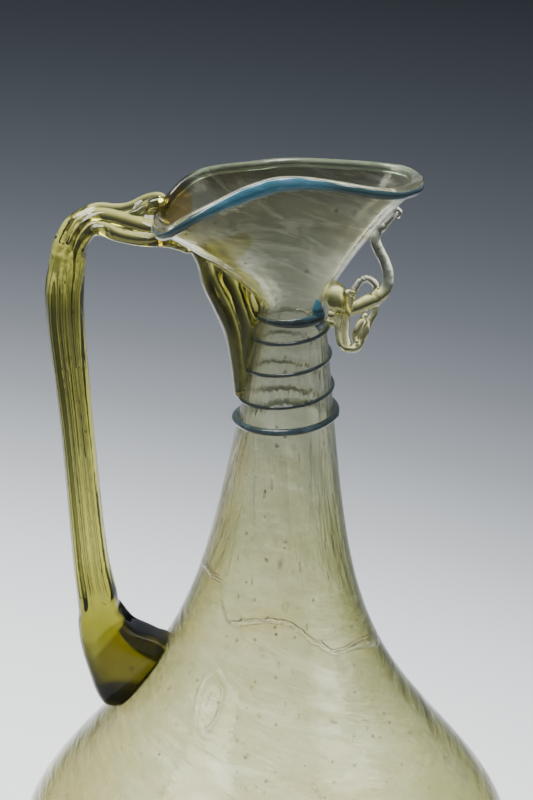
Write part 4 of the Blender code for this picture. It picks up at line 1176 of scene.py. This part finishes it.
class EWER_OT_mouth_trail(Operator):
    """Lay the trail round the mouth: thick and turquoise on the near side, thin and clear on the far side"""
    bl_idname = "ewer.mouth_trail"
    bl_label = "Mouth trail"

    def execute(self, context):
        sizes, colours = context.scene.ewer_sizes, context.scene.ewer_colours
        count = TRAIL_AROUND
        middle, _ = middle_surface(count, sizes.wall)
        normal, up = surface_frame(middle)
        lip = middle[-1]
        bulge = np.exp(-(lip[:, 0] / (0.36 * MOUTH_FRONT)) ** 2)
        turn = 2.0 * math.pi * np.arange(count) / count
        uneven = 1.0 + 0.05 * np.sin(9.0 * turn) + 0.04 * np.sin(23.0 * turn + 1.0)
        # Each half: first and last share of the way round, thickness, height, swell, lift and glass
        halves = (
            ("mouth_trail_near", 0.497, 1.012, sizes.trail_thickness, sizes.trail_height,
             sizes.trail_swell, 0.25 * MM, turquoise_glass(colours)),
            ("mouth_trail_far", -0.02, 0.545, 0.75 * sizes.trail_thickness, 0.80 * sizes.trail_height,
             0.0, -0.3 * MM, rim_glass()),
        )
        for name, first, last, thick, high, swell, lift, glass in halves:
            share = np.arange(round(first * count), round(last * count) + 1)
            at = share % count
            taper = (smooth_step(share / count, first, first + 0.05)
                     * smooth_step(-share / count, -last, -last + 0.05))
            thickness = (thick + 0.5 * swell * bulge[at]) * uneven[at] * (0.3 + 0.7 * taper) + 0.3 * MM
            height = (high + swell * bulge[at]) * uneven[at] * (0.3 + 0.7 * taper)
            reach = 0.5 * sizes.lip + 0.5 * thickness - 0.35 * MM
            raised = lift - 0.4 * swell * bulge[at]
            path = lip[at] + raised[:, None] * up[-1][at] + reach[:, None] * normal[-1][at]
            bm = bmesh.new()
            wrap_grid(bm, tube_rings(path, thickness, height, up[-1][at], sides=20))
            new_piece(name, bm, "rim_trail", glass)
        return {"FINISHED"}


def thread_points(sizes):
    """Points along the thread, with its thickness and its height at each."""
    points = []
    for turn in np.linspace(0.0, THREAD_TURNS, round(THREAD_TURNS * 64)):
        settled = min(turn / (THREAD_TURNS - RING_OVERLAP), 1.0)
        ease = 0.35 * settled + 0.65 * settled * settled * (3.0 - 2.0 * settled)
        height = THREAD_TOP + (THREAD_END - THREAD_TOP) * ease
        band = BAND_SHARE * sizes.thread * math.exp(-(turn / BAND_RUN) ** 2)
        ring = (sizes.ring - sizes.thread) / (1.0 + math.exp(-(turn - (THREAD_TURNS - RING_RUN)) / RING_ONSET))
        thickness = sizes.thread + 0.4 * band + ring
        angle = math.radians(DROP_ANGLE - 360.0 * turn)
        reach = float(outer_radius(height)) + 0.38 * thickness
        points.append((axis_x(height) + reach * math.cos(angle), reach * math.sin(angle), height, thickness,
                       sizes.thread + band + ring))
    return np.array(points)


class EWER_OT_neck_thread(Operator):
    """Wind the thread down the neck, from its drop to the thick ring"""
    bl_idname = "ewer.neck_thread"
    bl_label = "Neck thread"

    def execute(self, context):
        sizes = context.scene.ewer_sizes
        points = thread_points(sizes)
        bm = bmesh.new()
        wrap_grid(bm, tube_rings(points[:, :3], points[:, 3], points[:, 4], (0.0, 0.0, 1.0), sides=16))
        drop = bmesh.ops.create_uvsphere(bm, u_segments=28, v_segments=20, radius=1.0)["verts"]
        middle = NECK_TOP - DROP_DOWN
        reach = float(outer_radius(NECK_TOP)) + DROP_OUT
        turn = math.radians(DROP_ANGLE)
        across, round_neck, tall = DROP_HALF_SIZES
        for vert in drop:
            taper = 1.0 - 0.35 * max(vert.co.z, 0.0) ** 1.5
            vert.co = Vector((across * vert.co.x * taper, round_neck * vert.co.y * taper, tall * vert.co.z))
        for angle, axis in ((math.radians(DROP_LEAN), "X"), (turn, "Z")):
            bmesh.ops.rotate(bm, verts=drop, cent=(0.0, 0.0, 0.0), matrix=Matrix.Rotation(angle, 3, axis))
        place = (axis_x(middle) + reach * math.cos(turn), reach * math.sin(turn), middle)
        bmesh.ops.translate(bm, verts=drop, vec=place)
        new_piece("neck_thread", bm, "neck_spiral",
                  thread_glass(context.scene.ewer_colours))
        return {"FINISHED"}


def strand(bm, table, start, sides=20, fullness=1.0):
    """Add a rounded strand along a table of millimetres from a starting point."""
    points = even_steps(smooth_curve(table, 10), 8 * len(table)) * MM
    thickness = points[:, 3] * fullness
    width = points[:, 4] * fullness if points.shape[1] > 4 else thickness
    hint = (0.0, 1.0, 0.0) if points.shape[1] > 4 else None
    wrap_grid(bm, tube_rings(points[:, :3] + start, thickness, width, hint, sides=sides))


def lump(bm, middle, half_sizes):
    """Add an egg-shaped lump."""
    verts = bmesh.ops.create_uvsphere(bm, u_segments=24, v_segments=16, radius=1.0)["verts"]
    bmesh.ops.scale(bm, verts=verts, vec=half_sizes)
    bmesh.ops.translate(bm, verts=verts, vec=middle)


def strap_section(power):
    """Outline of the strap's core: flattened, with rounded corners."""
    def outline(turn):
        return (np.abs(np.cos(turn)) ** power + np.abs(np.sin(turn)) ** power) ** (-1.0 / power)
    return outline


def upright_stations(sizes):
    """The upright strap from the pad to its shoulder: x, y, z, thickness and width."""
    rise = HANDLE_TOP - HANDLE_BASE
    return np.array([(-reach * HANDLE_REACH, 0.0, HANDLE_BASE + up * rise, broad * sizes.strap_thickness,
                      width * sizes.strap_width) for reach, up, broad, width in STRAP_STATIONS])


def tail_core():
    """The tail between its outer ribs and the neck: x, y, z and thickness."""
    rows = []
    for outer, height in TAIL_OUTLINE:
        share = max(height * MM - NECK_TOP, 0.0) / BACK_RISE
        wall = back_wall(min(height * MM, NECK_TOP)) - (MOUTH_BACK - NECK_TOP_RADIUS) * share ** FUNNEL_FLARE
        rows.append((0.5 * (outer * MM + wall), 0.0, height * MM, wall - outer * MM + 0.5 * MM))
    return np.array(rows)


class EWER_OT_strap_handle(Operator):
    """Draw the ribbed strap up from its pad, part its ribs under the mouth and run its tail down the neck"""
    bl_idname = "ewer.strap_handle"
    bl_label = "Strap handle"

    def execute(self, context):
        sizes = context.scene.ewer_sizes
        upright = upright_stations(sizes)
        back = lip_curve(AROUND)[AROUND // 2]
        base_x = back_wall(HANDLE_BASE)
        bm = bmesh.new()
        pad = [(base_x - out * PAD_THICKNESS, 0.0, HANDLE_BASE + up * PAD_THICKNESS, thick * PAD_THICKNESS,
                wide * PAD_WIDTH) for out, up, thick, wide in PAD_STATIONS]
        slim, narrow = STRAP_CORE
        core = pad + [(x, y, z, slim * thick, narrow * wide) for x, y, z, thick, wide in upright]
        core.append((back[0] - CORE_END_OUT, 0.0, back[2] - CORE_END_DOWN, slim * sizes.strap_thickness,
                     0.8 * sizes.strap_width))
        core = even_steps(smooth_curve(core, 12), STRAP_STEPS)
        wrap_grid(bm, tube_rings(core[:, :3], core[:, 3], core[:, 4], (0.0, 1.0, 0.0), sides=STRAP_SIDES,
                                 shape=strap_section(3.4), round_ends=False))
        # Ribs up the strap: place across the thickness, thickness and width, and where each goes over the bend
        stations = np.vstack([np.array(pad[3:]) * (1.0, 1.0, 1.0, 0.86, 0.86), upright])
        along = np.gradient(stations[:, (0, 2)], axis=0)
        along /= np.linalg.norm(along, axis=1, keepdims=True)
        for offset, thick, wide, fan in ((0.33, 0.44, 1.0, UPPER_RIB), (0.02, 0.42, 1.06, MIDDLE_RIB),
                                         (-0.30, 0.48, 1.0, LOWER_RIB)):
            rib = [((x - offset * full * rise - back[0]) / MM, 0.0, (z + offset * full * run - back[2]) / MM,
                    thick * full / MM, wide * broad / MM)
                   for (x, y, z, full, broad), (run, rise) in zip(stations, along)]
            strand(bm, rib + list(fan), back, RIB_SIDES)
        for table in (RIB_BRANCH, *RIB_WEBS):
            strand(bm, table, back)
        tail = even_steps(smooth_curve(tail_core(), 12), TAIL_STEPS)
        width = 0.9 * sizes.tail_width * np.linspace(1.0, 0.5, TAIL_STEPS)
        wrap_grid(bm, tube_rings(tail[:, :3], tail[:, 3], width, (0.0, 1.0, 0.0), sides=TAIL_SIDES,
                                 shape=strap_section(2.6)))
        broader = sizes.tail_width / DRAWN_TAIL_WIDTH
        for table in TAIL_RIBS:
            strand(bm, [(x, y, z, thick, wide * broader) for x, y, z, thick, wide in table], (0.0, 0.0, 0.0),
                   RIB_SIDES)
        new_piece("strap_handle", melt(bm, HANDLE_VOXEL, 3), "handle",
                  olive_glass(context.scene.ewer_colours))
        return {"FINISHED"}


class EWER_OT_spout_tendril(Operator):
    """Bend the free rod under the spout and wind its strands against the neck"""
    bl_idname = "ewer.spout_tendril"
    bl_label = "Spout tendril"

    def execute(self, context):
        fullness = context.scene.ewer_sizes.tendril_fullness
        start = Vector((front_wall(NECK_TOP), 0.0, NECK_TOP))
        bm = bmesh.new()
        for table in (ROD_STRAND, LOOP_STRAND, OUTER_STRAND, INNER_STRAND):
            strand(bm, table, start, 18, fullness)
        for out, across, up, wide, deep, tall in TENDRIL_LUMPS:
            lump(bm, start + Vector((out, across, up)) * MM, (wide * MM, deep * MM, tall * MM))
        new_piece("spout_tendril_glass", melt(bm, TENDRIL_VOXEL, 3), "spout_tendril",
                  clear_glass(context.scene.ewer_colours))
        return {"FINISHED"}


def soft_light(name, place, size, mirrored, power):
    """A soft light that faces the ewer. Glossy pieces show it only where it is mirrored."""
    light = bpy.data.lights.new(name, "AREA")
    light.shape = "RECTANGLE"
    light.size, light.size_y = size
    light.energy = power
    lamp = bpy.data.objects.new(name, light)
    bpy.context.scene.collection.objects.link(lamp)
    lamp.location = place
    lamp.rotation_euler = (Vector(EWER_MIDDLE) - Vector(place)).to_track_quat("-Z", "Y").to_euler()
    lamp.visible_glossy = mirrored


def floor_material(stage):
    """Matt floor with a painted pool of light, pale round the ewer and dark far from it, and painted shade on
    the camera's side.
    """
    material, nodes = new_material("studio_floor")
    _, x, y, _ = nodes.place()
    sideways = nodes.maths("SUBTRACT", nodes.maths("SUBTRACT", x, nodes.product(y, FLOOR_SLANT)), FLOOR_CENTRE)
    away = nodes.maths("SQRT", nodes.total(nodes.product(sideways, sideways), nodes.product(y, y)))
    # Painted pool of light: the floor's colour falls off with distance from the ewer
    ramp = nodes.add("ShaderNodeValToRGB")
    nodes.link(nodes.maths("DIVIDE", away, FLOOR_REACH), ramp.inputs["Fac"])
    while len(ramp.color_ramp.elements) < len(FLOOR_POOL_SHARES):
        ramp.color_ramp.elements.new(0.5)
    cool = stage.floor_cool
    for element, (position, share) in zip(ramp.color_ramp.elements, FLOOR_POOL_SHARES):
        element.position = position / FLOOR_REACH
        element.color = tuple(pale * share ** power for pale, power in
                              zip(stage.floor_pale, (1.0 + cool, 1.0 + 0.15 * cool, 1.0 - cool))) + (1.0,)
    # Painted shade on the camera's side of the floor
    front = nodes.ranged(y, *FLOOR_SHADE_EDGE)
    colour = nodes.blend(front, ramp.outputs["Color"], (stage.floor_front_shade,) * 3, "MULTIPLY")
    nodes.finish(nodes.feed_all("ShaderNodeBsdfPrincipled", {
        "Base Color": colour, "Roughness": 0.9, "Specular IOR Level": 0.1})[0])
    return material


class EWER_OT_stage(Operator):
    """Lay the floor, hang the soft lights and set the camera at the photograph's angle"""
    bl_idname = "ewer.stage"
    bl_label = "Stage"

    def execute(self, context):
        stage = context.scene.ewer_stage
        bm = bmesh.new()
        bmesh.ops.create_grid(bm, x_segments=1, y_segments=1, size=0.5 * stage.floor_size)
        bmesh.ops.translate(bm, verts=bm.verts, vec=(0.0, 0.0, -FLOOR_DROP))
        mesh = bpy.data.meshes.new("studio_floor")
        bm.to_mesh(mesh)
        bm.free()
        floor = bpy.data.objects.new("studio_floor", mesh)
        context.scene.collection.objects.link(floor)
        mesh.materials.append(floor_material(stage))
        for light, power in zip(SOFT_LIGHTS, (stage.key_power, stage.side_power, stage.fill_power)):
            soft_light(*light, power)
        world = context.scene.world or bpy.data.worlds.new("studio")
        context.scene.world = world
        world.use_nodes = True
        shade = world.node_tree.nodes["Background"]
        shade.inputs["Color"].default_value = (*SKY_COLOUR, 1.0)
        shade.inputs["Strength"].default_value = stage.sky
        lens = bpy.data.cameras.new("camera")
        lens.lens = stage.lens
        lens.sensor_width = 36.0
        lens.clip_start = 0.01
        camera = bpy.data.objects.new("camera", lens)
        context.scene.collection.objects.link(camera)
        camera.location = CAMERA_PLACE
        camera.rotation_euler = (math.radians(90.0 - CAMERA_DOWN), 0.0, math.radians(CAMERA_TURN))
        context.scene.camera = camera
        return {"FINISHED"}


class EWER_PT_panel(Panel):
    """Sidebar panel with the ewer's sizes, colours and pieces."""
    bl_idname = "EWER_PT_panel"
    bl_label = "Glass ewer"
    bl_space_type = "VIEW_3D"
    bl_region_type = "UI"
    bl_category = "Ewer"

    def draw(self, context):
        for settings in (context.scene.ewer_sizes, context.scene.ewer_colours, context.scene.ewer_stage):
            box = self.layout.box()
            for name in settings.bl_rna.properties.keys():
                if name not in ("rna_type", "name"):
                    box.prop(settings, name)
        for operator in PIECES:
            self.layout.operator(operator.bl_idname)


PIECES = (EWER_OT_stage, EWER_OT_vessel, EWER_OT_mouth_trail, EWER_OT_neck_thread, EWER_OT_strap_handle,
          EWER_OT_spout_tendril)
CLASSES = (EwerSizes, EwerColours, StageSettings, *PIECES, EWER_PT_panel)


def register():
    for kind in CLASSES:
        bpy.utils.register_class(kind)
    bpy.types.Scene.ewer_sizes = PointerProperty(type=EwerSizes)
    bpy.types.Scene.ewer_colours = PointerProperty(type=EwerColours)
    bpy.types.Scene.ewer_stage = PointerProperty(type=StageSettings)


def unregister():
    del bpy.types.Scene.ewer_stage
    del bpy.types.Scene.ewer_colours
    del bpy.types.Scene.ewer_sizes
    for kind in reversed(CLASSES):
        bpy.utils.unregister_class(kind)


def main():
    register()
    bpy.ops.ewer.stage()
    bpy.ops.ewer.vessel()
    bpy.ops.ewer.mouth_trail()
    bpy.ops.ewer.neck_thread()
    bpy.ops.ewer.strap_handle()
    bpy.ops.ewer.spout_tendril()


if __name__ == "__main__":
    main()
